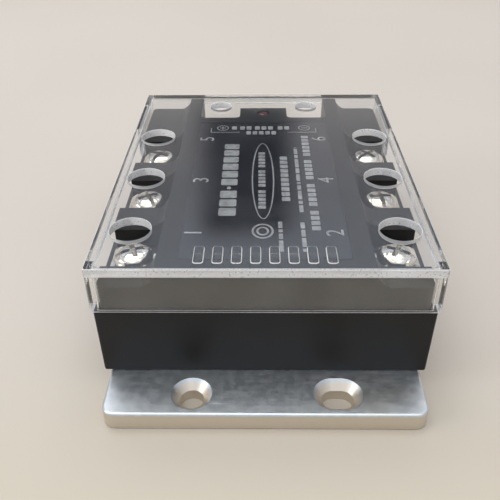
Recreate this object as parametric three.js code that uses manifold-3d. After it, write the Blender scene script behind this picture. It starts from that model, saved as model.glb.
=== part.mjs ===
// Three-phase solid state relay: a plated base plate, a moulded housing with six load
// terminals and two input terminals, the power and control parts inside it, and a clear
// lift-off cover. Millimetres, +Z up, origin at the centre of the base plate's underside.
// The front (-Y) is the end away from the two input terminals.
import * as THREE from 'three';
import { mergeVertices } from 'three/addons/utils/BufferGeometryUtils.js';
import Module from 'manifold-3d';

const wasm = await Module();
wasm.setup();

// ---------------------------------------------------------------- driving dimensions

const ROUND = 16;            // facets on a visible round
const SMALL_ROUND = 12;      // facets on a hidden or small round
const CORNER = 2;            // half the facets on a rounded corner

const PLATE = { width: 74, length: 126, thick: 4.8, corner: 3 };
const MOUNT_HOLE = { x: 16.9, inset: 6.3, radius: 2.75, slotTravel: 1.9, chamfer: 2.1 };

const LEDGE_Z = 23.2;        // top of the lower housing, where the cover stands
const DECK_Z = 29.5;         // top of the barriers between load terminals
const CROWN_Z = 33;          // top of the central block
const HOUSING = { width: 77.4, length: 98.6, corner: 1.2, draft: 0.992 };
const UPPER = { width: 74.8, length: 95.8, corner: 1.8 };
const CROWN_HALF = 24.3;     // half width of the central block
const COVE = 3;              // concave sweep from a barrier top up to the central block

const LOAD_X = 31.4;
const LOAD_Y = [-33.9, -8.7, 16.5];
const CAVITY = { length: 16.8, corner: 2.6 };
const LOAD_SEAT_Z = 22.5;    // underside of the load terminal strips

const INPUT_X = 13.8;
const INPUT_Y = 39.9;
const NOTCH = { inner: 7.5, outer: 20, front: 32.2, corner: 1.5 };
const LAMP_BLOCK_BACK = 39.8;
const LAMP_BLOCK_STEP_Z = 26;
const INPUT_SEAT_Z = 22.6;   // underside of the input terminal strips

const BAY = { wideX: 34.5, wideY: 39, narrowX: 25, narrowY: 45, top: 12 };
const BOARD_SLOT = { x: 22, y: 45, top: 17.6 };
const UPPER_BAY = { x: 20.5, front: -43.5, back: 29.5, top: 30.8 };
const LAMP_WELL = { x: 5.2, back: 38.7 };

const LABEL = { width: 38.8, front: -44.2, back: 28.3, thick: 0.35, margin: 0.15 };
const LAMP = { y: 36, radius: 1.5, flange: 1.9, low: 25.6, high: 30.4, leg: 0.5, legGap: 1.27 };
const WINDOW = { radius: 1.9, flange: 2.5, flangeThick: 0.7 };

const COVER = { width: 78.4, length: 99.4, top: 35.5, wall: 1.5, roof: 2.4, corner: 1.6 };
const ACCESS = { load: 4.9, input: 3.35 };
const WIRE_GATE = { front: -44, back: 25, rear: 20, top: 31 };

const CASE_SCREW = { x: 31, y: 43.5, shank: 2, head: 4, sink: 0.4, taper: 2.2, tip: 12.6 };
const RUNNING_GAP = 0.3;     // air left round a piece that passes through its neighbour

const M5 = {
  shank: 2.5, head: 4.6, headHigh: 3.1, rim: 1.5, length: 10, cross: 5.6, bit: 1.3,
  nut: 8, nutHigh: 4, washer: 11, washerThick: 1.2, strip: 12.4, stripThick: 1.5,
};
const M3_5 = {
  shank: 1.75, head: 3.1, headHigh: 2.2, rim: 1.1, length: 5.8, cross: 3.6, bit: 0.9,
  nut: 6, nutHigh: 2.6, washer: 8.4, washerThick: 1, strip: 10, stripThick: 1,
};
const LEG = { thick: 1.2, width: 7, x: 25.2, footEnd: 6.5, footTop: 7.5 };
const INPUT_LEG = { thick: 1, width: 5, y: 33.3 };

const SUBSTRATE = { width: 47, length: 18, thick: 1 };
const CHIP = { size: 11, thick: 0.5, x: 10 };
const POTTING = { low: 8.2, high: 11.7 };
const BOARD = { x: 21.7, y: 44.7, thick: 1.6 };
const OPTO = { width: 8.6, length: 6.4, high: 3.5 };

// Finishes: colour, roughness, metalness.
const FINISH = {
  plated_steel: [0x9aa3a8, 0.32, 0.9],
  moulded_case: [0x1f2022, 0.55, 0],
  clear_cover: [0xe6edf0, 0.08, 0],
  label_film: [0x16181c, 0.2, 0],
  red_lens: [0x7a1412, 0.25, 0],
  terminal_plating: [0xc9c4b4, 0.3, 0.95],
  screw_plating: [0xd6d2c6, 0.22, 1],
  epoxy: [0x2b2a28, 0.6, 0],
  ceramic: [0xeeece4, 0.5, 0],
  silicon: [0x4a4f5c, 0.3, 0.5],
  circuit_board: [0x1d5a35, 0.5, 0],
  chip_package: [0xe8e6de, 0.5, 0],
};

// ------------------------------------------------------------------- solids and cuts

/** A closed three.js geometry as a solid that can be joined and cut. */
function toSolid(geometry) {
  const bare = geometry.clone();
  bare.deleteAttribute('normal');
  bare.deleteAttribute('uv');
  const merged = mergeVertices(bare, 1e-4);
  const corners = merged.index.array;
  const triVerts = [];
  for (let i = 0; i < corners.length; i += 3) {
    const [a, b, c] = corners.slice(i, i + 3);
    if (a !== b && b !== c && c !== a) triVerts.push(a, b, c);
  }
  return new wasm.Manifold(new wasm.Mesh({
    numProp: 3,
    vertProperties: new Float32Array(merged.attributes.position.array),
    triVerts: new Uint32Array(triVerts),
  }));
}

function toGeometry(solid) {
  const mesh = solid.getMesh();
  const geometry = new THREE.BufferGeometry();
  geometry.setAttribute('position', new THREE.BufferAttribute(mesh.vertProperties, 3));
  geometry.setIndex(new THREE.BufferAttribute(mesh.triVerts, 1));
  geometry.computeVertexNormals();
  return geometry;
}

function joinAll(solids) {
  return solids.reduce((whole, piece) => whole.add(piece));
}

function cutAll(body, tools) {
  return body.subtract(joinAll(tools));
}

function block(x0, x1, y0, y1, z0, z1) {
  const geometry = new THREE.BoxGeometry(x1 - x0, y1 - y0, z1 - z0);
  geometry.translate((x0 + x1) / 2, (y0 + y1) / 2, (z0 + z1) / 2);
  return toSolid(geometry);
}

/** A round bar along Z. A different top radius makes it a cone. */
function round(x, y, z0, z1, radius, facets = ROUND, topRadius = radius) {
  const geometry = new THREE.CylinderGeometry(topRadius, radius, z1 - z0, facets);
  geometry.rotateX(Math.PI / 2);
  geometry.translate(x, y, (z0 + z1) / 2);
  return toSolid(geometry);
}

/** A turned piece about Z from radius and height pairs, bottom of the axis to its top. */
function turned(profile, facets) {
  const points = profile.map(([r, z]) => new THREE.Vector2(r, z));
  const geometry = new THREE.LatheGeometry(points, facets);
  geometry.rotateX(Math.PI / 2);
  return toSolid(geometry);
}

function roundedRect(x0, x1, y0, y1, radius) {
  const shape = new THREE.Shape();
  shape.moveTo(x0 + radius, y0);
  shape.lineTo(x1 - radius, y0);
  shape.absarc(x1 - radius, y0 + radius, radius, -Math.PI / 2, 0, false);
  shape.lineTo(x1, y1 - radius);
  shape.absarc(x1 - radius, y1 - radius, radius, 0, Math.PI / 2, false);
  shape.lineTo(x0 + radius, y1);
  shape.absarc(x0 + radius, y1 - radius, radius, Math.PI / 2, Math.PI, false);
  shape.lineTo(x0, y0 + radius);
  shape.absarc(x0 + radius, y0 + radius, radius, Math.PI, Math.PI * 1.5, false);
  return shape;
}

/** A flat shape drawn in XY and raised from z0 to z1. */
function raised(shape, z0, z1, facets = CORNER) {
  const depth = z1 - z0;
  const geometry = new THREE.ExtrudeGeometry(shape, {
    depth, bevelEnabled: false, curveSegments: facets,
  });
  geometry.translate(0, 0, z0);
  return toSolid(geometry);
}

function roundedBlock(x0, x1, y0, y1, z0, z1, radius, facets = CORNER) {
  return raised(roundedRect(x0, x1, y0, y1, radius), z0, z1, facets);
}

/** A rounded block whose foot is slightly smaller than its top, as a mould's draft. */
function draftedBlock(width, length, z0, z1, radius, draft) {
  const shape = roundedRect(-width / 2, width / 2, -length / 2, length / 2, radius);
  const geometry = new THREE.ExtrudeGeometry(shape, {
    depth: z1 - z0, bevelEnabled: false, curveSegments: CORNER,
  });
  const position = geometry.attributes.position;
  for (let i = 0; i < position.count; i += 1) {
    if (position.getZ(i) === 0) {
      position.setXY(i, position.getX(i) * draft, position.getY(i) * draft);
    }
  }
  geometry.translate(0, 0, z0);
  return toSolid(geometry);
}

// ------------------------------------------------------------------------ base plate

/** Cutter for one mounting hole: round or slotted, flaring to a wide chamfer at the top. */
function mountHole(x, y, travel) {
  const { radius, chamfer } = MOUNT_HOLE;
  const levels = [-1, PLATE.thick - chamfer, PLATE.thick + 1];
  const flare = (radius + levels[2] - levels[1]) / radius;
  const shape = new THREE.Shape();
  shape.absarc(travel, 0, radius, -Math.PI / 2, Math.PI / 2, false);
  shape.absarc(-travel, 0, radius, Math.PI / 2, Math.PI * 1.5, false);
  const geometry = new THREE.ExtrudeGeometry(shape, {
    depth: 2, steps: 2, bevelEnabled: false, curveSegments: ROUND / 4,
  });
  const position = geometry.attributes.position;
  for (let i = 0; i < position.count; i += 1) {
    const level = Math.round(position.getZ(i));
    const centre = THREE.MathUtils.clamp(position.getX(i), -travel, travel);
    const grow = level === 2 ? flare : 1;
    const px = centre + (position.getX(i) - centre) * grow;
    position.setXYZ(i, x + px, y + position.getY(i) * grow, levels[level]);
  }
  return toSolid(geometry);
}

function caseScrewPlaces() {
  const { x, y } = CASE_SCREW;
  return [['front_left', -x, -y], ['front_right', x, -y], ['rear_left', -x, y], ['rear_right', x, y]];
}

function basePlate() {
  const plate = roundedBlock(
    -PLATE.width / 2, PLATE.width / 2, -PLATE.length / 2, PLATE.length / 2,
    0, PLATE.thick, PLATE.corner,
  );
  const row = PLATE.length / 2 - MOUNT_HOLE.inset;
  const holes = [
    mountHole(-MOUNT_HOLE.x, -row, 0),
    mountHole(MOUNT_HOLE.x, -row, MOUNT_HOLE.slotTravel / 2),
    mountHole(-MOUNT_HOLE.x, row, MOUNT_HOLE.slotTravel / 2),
    mountHole(MOUNT_HOLE.x, row, 0),
  ];
  const sinks = caseScrewPlaces().flatMap(([, x, y]) => {
    const shankHole = CASE_SCREW.shank + RUNNING_GAP;
    const mouth = CASE_SCREW.head + RUNNING_GAP;
    const seat = CASE_SCREW.sink + CASE_SCREW.taper;
    return [
      round(x, y, -1, PLATE.thick + 1, shankHole, SMALL_ROUND),
      round(x, y, -1, CASE_SCREW.sink + 0.01, mouth, SMALL_ROUND),
      round(x, y, CASE_SCREW.sink, seat, mouth, SMALL_ROUND, shankHole),
    ];
  });
  return cutAll(plate, [...holes, ...sinks]);
}

/** Countersunk screw from beneath, its head just inside the plate. */
function caseScrew() {
  const { shank, head, sink, taper, tip } = CASE_SCREW;
  const land = 0.25;
  const body = turned([
    [0, sink], [head, sink], [head, sink + land], [shank, sink + taper],
    [shank, tip - shank], [shank * 0.45, tip], [0, tip],
  ], SMALL_ROUND);
  const drive = cutAll(body, [
    block(-2.1, 2.1, -0.5, 0.5, sink - 1, sink + 1.4),
    block(-0.5, 0.5, -2.1, 2.1, sink - 1, sink + 1.4),
  ]);
  return drive;
}

// --------------------------------------------------------------------------- housing

/** Cross-section of the upper housing: low decks, coves and the raised centre. */
function upperProfile() {
  const half = UPPER.width / 2;
  const shoulder = 0.4;
  const shape = new THREE.Shape();
  shape.moveTo(-half, LEDGE_Z - 1);
  shape.lineTo(half, LEDGE_Z - 1);
  shape.lineTo(half, DECK_Z);
  shape.lineTo(CROWN_HALF + COVE, DECK_Z);
  shape.absarc(CROWN_HALF + COVE, DECK_Z + COVE, COVE, Math.PI * 1.5, Math.PI, true);
  shape.lineTo(CROWN_HALF, CROWN_Z - shoulder);
  shape.lineTo(CROWN_HALF - shoulder, CROWN_Z);
  shape.lineTo(shoulder - CROWN_HALF, CROWN_Z);
  shape.lineTo(-CROWN_HALF, CROWN_Z - shoulder);
  shape.lineTo(-CROWN_HALF, DECK_Z + COVE);
  shape.absarc(-CROWN_HALF - COVE, DECK_Z + COVE, COVE, 0, -Math.PI / 2, true);
  shape.lineTo(-half, DECK_Z);
  shape.closePath();
  return shape;
}

function upperHousing() {
  const geometry = new THREE.ExtrudeGeometry(upperProfile(), {
    depth: UPPER.length, bevelEnabled: false, curveSegments: CORNER,
  });
  geometry.rotateX(Math.PI / 2);
  geometry.translate(0, UPPER.length / 2, 0);
  const outline = roundedBlock(
    -UPPER.width / 2, UPPER.width / 2, -UPPER.length / 2, UPPER.length / 2,
    LEDGE_Z - 2, CROWN_Z + 1, UPPER.corner,
  );
  return toSolid(geometry).intersect(outline);
}

/** The open pocket of one load terminal, and the seats beneath its floor. */
function loadPocket(side, y) {
  const half = CAVITY.length / 2;
  const reach = HOUSING.width;
  const [x0, x1] = side > 0 ? [CROWN_HALF, reach] : [-reach, -CROWN_HALF];
  const [s0, s1] = sideSpan(side, LEG.x - RUNNING_GAP, LOAD_X + M5.strip / 2 - 1 + RUNNING_GAP);
  const [l0, l1] = sideSpan(side, LEG.x - RUNNING_GAP, LEG.x + LEG.thick + RUNNING_GAP);
  const seat = M5.strip / 2 + RUNNING_GAP;
  const nut = M5.nut / 2 + RUNNING_GAP;
  const leg = LEG.width / 2 + RUNNING_GAP;
  const x = side * LOAD_X;
  const nutLow = LOAD_SEAT_Z - M5.nutHigh - RUNNING_GAP;
  return [
    roundedBlock(x0, x1, y - half, y + half, LEDGE_Z, CROWN_Z + 2, CAVITY.corner),
    block(s0, s1, y - seat, y + seat, LOAD_SEAT_Z, LEDGE_Z + 1),
    block(x - nut, x + nut, y - nut, y + nut, nutLow, LOAD_SEAT_Z + 0.5),
    round(x, y, 14.5, LOAD_SEAT_Z, M5.shank + 0.7, SMALL_ROUND),
    block(l0, l1, y - leg, y + leg, BAY.top - 1, LOAD_SEAT_Z + 0.5),
  ];
}

/** Lowest and highest x of a span given by its distances from the middle plane. */
function sideSpan(side, near, far) {
  return side > 0 ? [near, far] : [-far, -near];
}

/** The open notch of one input terminal, and the seats beneath its floor. */
function inputNotch(side) {
  const [x0, x1] = sideSpan(side, NOTCH.inner, NOTCH.outer);
  const x = side * INPUT_X;
  const seat = M3_5.strip / 2 + RUNNING_GAP;
  const nut = M3_5.nut / 2 + RUNNING_GAP;
  const leg = INPUT_LEG.width / 2 + RUNNING_GAP;
  const nutLow = INPUT_SEAT_Z - M3_5.nutHigh - RUNNING_GAP;
  const legBack = INPUT_LEG.y + INPUT_LEG.thick + RUNNING_GAP;
  const seatBack = INPUT_Y + M3_5.strip / 2 + RUNNING_GAP;
  return [
    roundedBlock(x0, x1, NOTCH.front, HOUSING.length, LEDGE_Z, CROWN_Z + 1, NOTCH.corner),
    block(x - seat, x + seat, INPUT_LEG.y - RUNNING_GAP, seatBack, INPUT_SEAT_Z, LEDGE_Z + 1),
    block(x - nut, x + nut, INPUT_Y - nut, INPUT_Y + nut, nutLow, INPUT_SEAT_Z + 0.5),
    round(x, INPUT_Y, 18.3, INPUT_SEAT_Z, M3_5.shank + 0.5, SMALL_ROUND),
    block(x - leg, x + leg, INPUT_LEG.y - RUNNING_GAP, legBack, BOARD_SLOT.top - 1, INPUT_SEAT_Z + 0.5),
  ];
}

/** The bay for the electronics, open at the bottom. */
function innerBay() {
  const foot = PLATE.thick - 1;
  const well = UPPER_BAY.back - 1;
  return [
    block(-BAY.wideX, BAY.wideX, -BAY.wideY, BAY.wideY, foot, BAY.top),
    block(-BAY.narrowX, BAY.narrowX, -BAY.narrowY, BAY.narrowY, foot, BAY.top),
    block(-BOARD_SLOT.x, BOARD_SLOT.x, -BOARD_SLOT.y, BOARD_SLOT.y, BAY.top - 1, BOARD_SLOT.top),
    block(-UPPER_BAY.x, UPPER_BAY.x, UPPER_BAY.front, UPPER_BAY.back, BOARD_SLOT.top - 1, UPPER_BAY.top),
    block(-LAMP_WELL.x, LAMP_WELL.x, well, LAMP_WELL.back, BOARD_SLOT.top - 1, UPPER_BAY.top),
  ];
}

function labelRecess() {
  const half = LABEL.width / 2 + LABEL.margin;
  const floor = CROWN_Z - LABEL.thick;
  return block(-half, half, LABEL.front - LABEL.margin, LABEL.back + LABEL.margin, floor, CROWN_Z + 1);
}

function housing() {
  const lower = draftedBlock(
    HOUSING.width, HOUSING.length, PLATE.thick, LEDGE_Z, HOUSING.corner, HOUSING.draft,
  );
  const pockets = [-1, 1].flatMap((side) => LOAD_Y.flatMap((y) => loadPocket(side, y)));
  const notches = [-1, 1].flatMap((side) => inputNotch(side));
  const lampStep = block(
    -NOTCH.outer, NOTCH.outer, LAMP_BLOCK_BACK, HOUSING.length, LAMP_BLOCK_STEP_Z, CROWN_Z + 1,
  );
  const lampHole = round(0, LAMP.y, UPPER_BAY.top - 1, CROWN_Z + 1, WINDOW.radius + 0.15);
  const screwHoles = caseScrewPlaces().map(([, x, y]) => round(
    x, y, PLATE.thick - 1, CASE_SCREW.tip + RUNNING_GAP, CASE_SCREW.shank + RUNNING_GAP, SMALL_ROUND,
  ));
  return cutAll(lower.add(upperHousing()), [
    ...pockets, ...notches, ...innerBay(), labelRecess(), lampStep, lampHole, ...screwHoles,
  ]);
}

// ----------------------------------------------------------------------------- cover

function cover() {
  const { width, length, top, wall, roof, corner } = COVER;
  const shell = roundedBlock(-width / 2, width / 2, -length / 2, length / 2, LEDGE_Z, top, corner);
  const inside = roundedBlock(
    wall - width / 2, width / 2 - wall, wall - length / 2, length / 2 - wall,
    LEDGE_Z - 1, top - roof, 0.6, 1,
  );
  const loadHoles = [-1, 1].flatMap((side) => LOAD_Y.map(
    (y) => round(side * LOAD_X, y, top - roof - 1, top + 1, ACCESS.load),
  ));
  const inputHoles = [-1, 1].map(
    (side) => round(side * INPUT_X, INPUT_Y, top - roof - 1, top + 1, ACCESS.input),
  );
  const sideGate = block(-width, width, WIRE_GATE.front, WIRE_GATE.back, LEDGE_Z - 1, WIRE_GATE.top);
  const rearGate = block(-WIRE_GATE.rear, WIRE_GATE.rear, 0, length, LEDGE_Z - 1, WIRE_GATE.top);
  return cutAll(shell, [inside, ...loadHoles, ...inputHoles, sideGate, rearGate]);
}

// --------------------------------------------------------------- label, lamp, inside

function nameplate() {
  const half = LABEL.width / 2;
  return roundedBlock(
    -half, half, LABEL.front, LABEL.back, CROWN_Z - LABEL.thick, CROWN_Z, 0.8, 1,
  );
}

/** Red window with a flange that holds it under the roof of the housing. */
function lampWindow() {
  const { radius, flange, flangeThick } = WINDOW;
  const low = UPPER_BAY.top - flangeThick;
  const lens = turned([
    [0, low], [flange, low], [flange, UPPER_BAY.top], [radius, UPPER_BAY.top],
    [radius, CROWN_Z - 0.4], [radius * 0.7, CROWN_Z - 0.1], [0, CROWN_Z],
  ], SMALL_ROUND);
  return lens.translate([0, LAMP.y, 0]);
}

function indicatorLamp() {
  const { radius, flange, low, leg, legGap } = LAMP;
  const high = UPPER_BAY.top - WINDOW.flangeThick - RUNNING_GAP;
  const shoulder = high - radius;
  const bulb = turned([
    [0, low], [flange, low], [flange, low + 1], [radius, low + 1],
    [radius, shoulder], [radius * 0.85, shoulder + radius * 0.53],
    [radius * 0.5, shoulder + radius * 0.87], [0, high],
  ], SMALL_ROUND);
  const legs = [-1, 1].map((side) => {
    const x = side * legGap;
    return block(x - leg / 2, x + leg / 2, -leg / 2, leg / 2, BOARD_SLOT.top, low + 0.5);
  });
  return joinAll([bulb, ...legs]).translate([0, LAMP.y, 0]);
}

function driverBoard() {
  return block(-BOARD.x, BOARD.x, -BOARD.y, BOARD.y, BOARD_SLOT.top - BOARD.thick, BOARD_SLOT.top);
}

/** Eight-legged isolator package standing on the driver board. */
function optocoupler(y) {
  const { width, length, high } = OPTO;
  const low = BOARD_SLOT.top + 0.6;
  const body = block(-width / 2, width / 2, y - length / 2, y + length / 2, low, low + high);
  const legs = [-1, 1].flatMap((side) => [-1, 0, 1].map((row) => {
    const [x0, x1] = sideSpan(side, width / 2 - 0.4, width / 2 + 0.5);
    const place = y + row * 2.1;
    return block(x0, x1, place - 0.3, place + 0.3, BOARD_SLOT.top, low + 1.4);
  }));
  return joinAll([body, ...legs]);
}

/** Cured filling over the power chips, cut round the legs of the load terminals. */
function pottingCompound() {
  const { low, high } = POTTING;
  const gap = RUNNING_GAP;
  const slab = joinAll([
    block(gap - BAY.wideX, BAY.wideX - gap, gap - BAY.wideY, BAY.wideY - gap, low, high),
    block(gap - BAY.narrowX, BAY.narrowX - gap, gap - BAY.narrowY, BAY.narrowY - gap, low, high),
  ]);
  const slots = [-1, 1].flatMap((side) => LOAD_Y.map((y) => {
    const [x0, x1] = sideSpan(side, LEG.x - gap, LEG.x + LEG.thick + gap);
    return block(x0, x1, y - LEG.width / 2 - gap, y + LEG.width / 2 + gap, low - 1, high + 1);
  }));
  return cutAll(slab, slots);
}

function substrate(y) {
  const { width, length, thick } = SUBSTRATE;
  return block(-width / 2, width / 2, y - length / 2, y + length / 2, PLATE.thick, PLATE.thick + thick);
}

function powerChip(side, y) {
  const half = CHIP.size / 2;
  const low = PLATE.thick + SUBSTRATE.thick;
  const x = side * CHIP.x;
  return roundedBlock(x - half, x + half, y - half, y + half, low, low + CHIP.thick, 0.6, 1);
}

// ------------------------------------------------------------------- terminal pieces

/** Pan-head screw with a combined cross and slot, its seat at z = 0. */
function terminalScrew(size) {
  const { shank, head, headHigh, rim, length, cross, bit } = size;
  const body = turned([
    [0, -length], [shank * 0.7, -length], [shank, shank * 0.3 - length], [shank, 0],
    [head, 0], [head, rim], [head * 0.84, headHigh * 0.86], [head * 0.45, headHigh], [0, headHigh],
  ], SMALL_ROUND);
  const deep = headHigh * 0.35;
  const shallow = headHigh * 0.62;
  return cutAll(body, [
    block(-cross / 2, cross / 2, -bit / 2, bit / 2, deep, headHigh + 1),
    block(-bit / 2, bit / 2, -cross / 2, cross / 2, deep, headHigh + 1),
    block(-head - 1, head + 1, -bit / 2, bit / 2, shallow, headHigh + 1),
  ]);
}

/** Square clamp washer, its underside at z = 0. */
function clampWasher(size) {
  const half = size.washer / 2;
  const plate = roundedBlock(-half, half, -half, half, 0, size.washerThick, 0.9, 1);
  return plate.subtract(round(0, 0, -1, size.washerThick + 1, size.shank + 0.25, SMALL_ROUND));
}

/** Square nut held under a terminal strip, its top at z = 0. */
function captiveNut(size) {
  const half = size.nut / 2;
  const body = roundedBlock(-half, half, -half, half, -size.nutHigh, 0, 0.5, 1);
  return body.subtract(round(0, 0, -size.nutHigh - 1, 1, size.shank + 0.12, SMALL_ROUND));
}

/** Bent strip of a load terminal: a pad under the screw, a leg, and a foot on the chip. */
function loadTerminal(side, y) {
  const top = LOAD_SEAT_Z + M5.stripThick;
  const chipTop = PLATE.thick + SUBSTRATE.thick + CHIP.thick;
  const half = M5.strip / 2;
  const [p0, p1] = sideSpan(side, LEG.x, LOAD_X + half - 1);
  const [l0, l1] = sideSpan(side, LEG.x, LEG.x + LEG.thick);
  const [f0, f1] = sideSpan(side, LEG.footEnd, LEG.x + LEG.thick);
  const leg = LEG.width / 2;
  const strip = joinAll([
    roundedBlock(p0, p1, y - half, y + half, LOAD_SEAT_Z, top, 0.6, 1),
    block(l0, l1, y - leg, y + leg, chipTop, top - 0.5),
    block(f0, f1, y - leg, y + leg, chipTop, LEG.footTop),
  ]);
  return strip.subtract(round(side * LOAD_X, y, LOAD_SEAT_Z - 1, top + 1, M5.shank + 0.4, SMALL_ROUND));
}

/** Bent strip of an input terminal, its leg standing on the driver board. */
function inputTerminal(side) {
  const x = side * INPUT_X;
  const top = INPUT_SEAT_Z + M3_5.stripThick;
  const half = M3_5.strip / 2;
  const leg = INPUT_LEG.width / 2;
  const legBack = INPUT_LEG.y + INPUT_LEG.thick;
  const strip = joinAll([
    roundedBlock(x - half, x + half, INPUT_LEG.y, INPUT_Y + half, INPUT_SEAT_Z, top, 0.5, 1),
    block(x - leg, x + leg, INPUT_LEG.y, legBack, BOARD_SLOT.top, top - 0.4),
  ]);
  return strip.subtract(round(x, INPUT_Y, INPUT_SEAT_Z - 1, top + 1, M3_5.shank + 0.3, SMALL_ROUND));
}

// -------------------------------------------------------------------------- assembly

const relay = new THREE.Group();

/** Adds a named piece at a place, turned about Z by an angle. */
function place(name, finish, solid, [x, y, z] = [0, 0, 0], turn = 0) {
  const [color, roughness, metalness] = FINISH[finish];
  const material = new THREE.MeshStandardMaterial({ color, roughness, metalness });
  if (finish === 'clear_cover') {
    material.transparent = true;
    material.opacity = 0.3;
  }
  const mesh = new THREE.Mesh(toGeometry(solid), material);
  mesh.name = name;
  mesh.position.set(x, y, z);
  mesh.rotation.z = turn;
  relay.add(mesh);
}

/** Screw, clamp washer and captive nut of one terminal. */
function placeFasteners(where, size, x, y, seat, turn) {
  const stripTop = seat + size.stripThick;
  place(`nut_${where}`, 'terminal_plating', captiveNut(size), [x, y, seat]);
  place(`clamp_${where}`, 'screw_plating', clampWasher(size), [x, y, stripTop]);
  place(`screw_${where}`, 'screw_plating', terminalScrew(size), [x, y, stripTop + size.washerThick], turn);
}

function placeCase() {
  place('base_plate', 'plated_steel', basePlate());
  place('housing', 'moulded_case', housing());
  place('cover', 'clear_cover', cover());
  place('nameplate', 'label_film', nameplate());
  place('lamp_window', 'red_lens', lampWindow());
  for (const [where, x, y] of caseScrewPlaces()) {
    place(`case_screw_${where}`, 'screw_plating', caseScrew(), [x, y, 0]);
  }
}

function placeElectronics() {
  place('driver_board', 'circuit_board', driverBoard());
  place('potting_compound', 'epoxy', pottingCompound());
  place('indicator_lamp', 'red_lens', indicatorLamp());
  LOAD_Y.forEach((y, row) => {
    const phase = ['front', 'middle', 'rear'][row];
    place(`optocoupler_${phase}`, 'chip_package', optocoupler(y));
    place(`ceramic_substrate_${phase}`, 'ceramic', substrate(y));
    place(`thyristor_left_${phase}`, 'silicon', powerChip(-1, y));
    place(`thyristor_right_${phase}`, 'silicon', powerChip(1, y));
  });
}

/** How far each screw's slot stands turned from the X axis, in degrees. */
const SCREW_TURNS = { left: [22, 118, 64], right: [-28, 96, 41], input: [35, -20] };

function placeTerminals() {
  for (const [side, word] of [[-1, 'left'], [1, 'right']]) {
    LOAD_Y.forEach((y, row) => {
      const where = `${word}_${['front', 'middle', 'rear'][row]}`;
      const turn = THREE.MathUtils.degToRad(SCREW_TURNS[word][row]);
      place(`terminal_${where}`, 'terminal_plating', loadTerminal(side, y));
      placeFasteners(where, M5, side * LOAD_X, y, LOAD_SEAT_Z, turn);
    });
    const where = `input_${word}`;
    const turn = THREE.MathUtils.degToRad(SCREW_TURNS.input[(side + 1) / 2]);
    place(`terminal_${where}`, 'terminal_plating', inputTerminal(side));
    placeFasteners(where, M3_5, side * INPUT_X, INPUT_Y, INPUT_SEAT_Z, turn);
  }
}

placeCase();
placeElectronics();
placeTerminals();

export default relay;
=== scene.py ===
"""Looks of a three-phase solid state relay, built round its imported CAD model.

The CAD model is the fixed frame. Each class here stands for one sub-assembly of the relay: it holds
its sizes, builds its meshes and gives them their finish. All sizes are in millimetres in the classes
and are turned into metres where a mesh is made. The front of the relay (-Y) is the end away from the
two input terminals.
"""
import logging
import math
from dataclasses import dataclass
from enum import Enum
from typing import Callable, ClassVar, Iterable, Optional, Sequence, Union

import bmesh
import bpy
from mathutils import Matrix, Vector


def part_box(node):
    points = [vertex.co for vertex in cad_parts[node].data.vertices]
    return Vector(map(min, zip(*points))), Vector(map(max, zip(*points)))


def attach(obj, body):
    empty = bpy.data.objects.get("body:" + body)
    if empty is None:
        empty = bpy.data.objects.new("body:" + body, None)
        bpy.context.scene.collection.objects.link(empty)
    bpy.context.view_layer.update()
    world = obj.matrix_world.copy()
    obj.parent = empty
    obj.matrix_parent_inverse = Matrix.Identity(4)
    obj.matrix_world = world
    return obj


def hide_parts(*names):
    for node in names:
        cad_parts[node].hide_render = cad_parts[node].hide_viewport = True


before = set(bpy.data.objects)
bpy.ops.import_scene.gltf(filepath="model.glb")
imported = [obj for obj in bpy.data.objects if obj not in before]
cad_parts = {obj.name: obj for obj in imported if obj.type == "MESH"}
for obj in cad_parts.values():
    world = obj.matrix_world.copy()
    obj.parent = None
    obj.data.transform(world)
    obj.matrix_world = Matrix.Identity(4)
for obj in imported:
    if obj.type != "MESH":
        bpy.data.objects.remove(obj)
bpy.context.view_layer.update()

LOG = logging.getLogger("relay")
MM = 0.001
FINE = 64          # facets on a large visible round
MEDIUM = 48        # facets on a smaller round
COARSE = 32        # facets on a bore that is hardly seen
PAST = 1.0         # how far a cutting tool reaches past the face it cuts, in millimetres
NEAR = 0.01        # places closer than this, in millimetres, count as the same
WELD = 1e-4        # vertices closer than this, in millimetres, are one
ROWS = ("front", "middle", "rear")
SIDES = ("left", "right")
LOAD_TERMINALS = tuple(f"{side}_{row}" for side in SIDES for row in ROWS)
INPUT_TERMINALS = ("input_left", "input_right")
SHARP = math.radians(32)
CORNER = math.radians(40)

Number = Union[int, float]
Point = Sequence[float]


# ------------------------------------------------------------------------------ places


@dataclass(frozen=True)
class Box:
    """The place of a CAD node, in millimetres."""

    low: Vector
    high: Vector

    @classmethod
    def of(cls, node: str) -> "Box":
        """The box of one CAD node."""
        low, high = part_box(node)
        return cls(low / MM, high / MM)

    @property
    def centre(self) -> Vector:
        """The middle of the box."""
        return (self.low + self.high) / 2

    @property
    def size(self) -> Vector:
        """The lengths of the box's sides."""
        return self.high - self.low


def mirror_sign(side: str) -> int:
    """-1 on the left side of the relay and 1 on its right."""
    return -1 if side.startswith("left") or side.endswith("left") else 1


# --------------------------------------------------------------------------- mesh work


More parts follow.
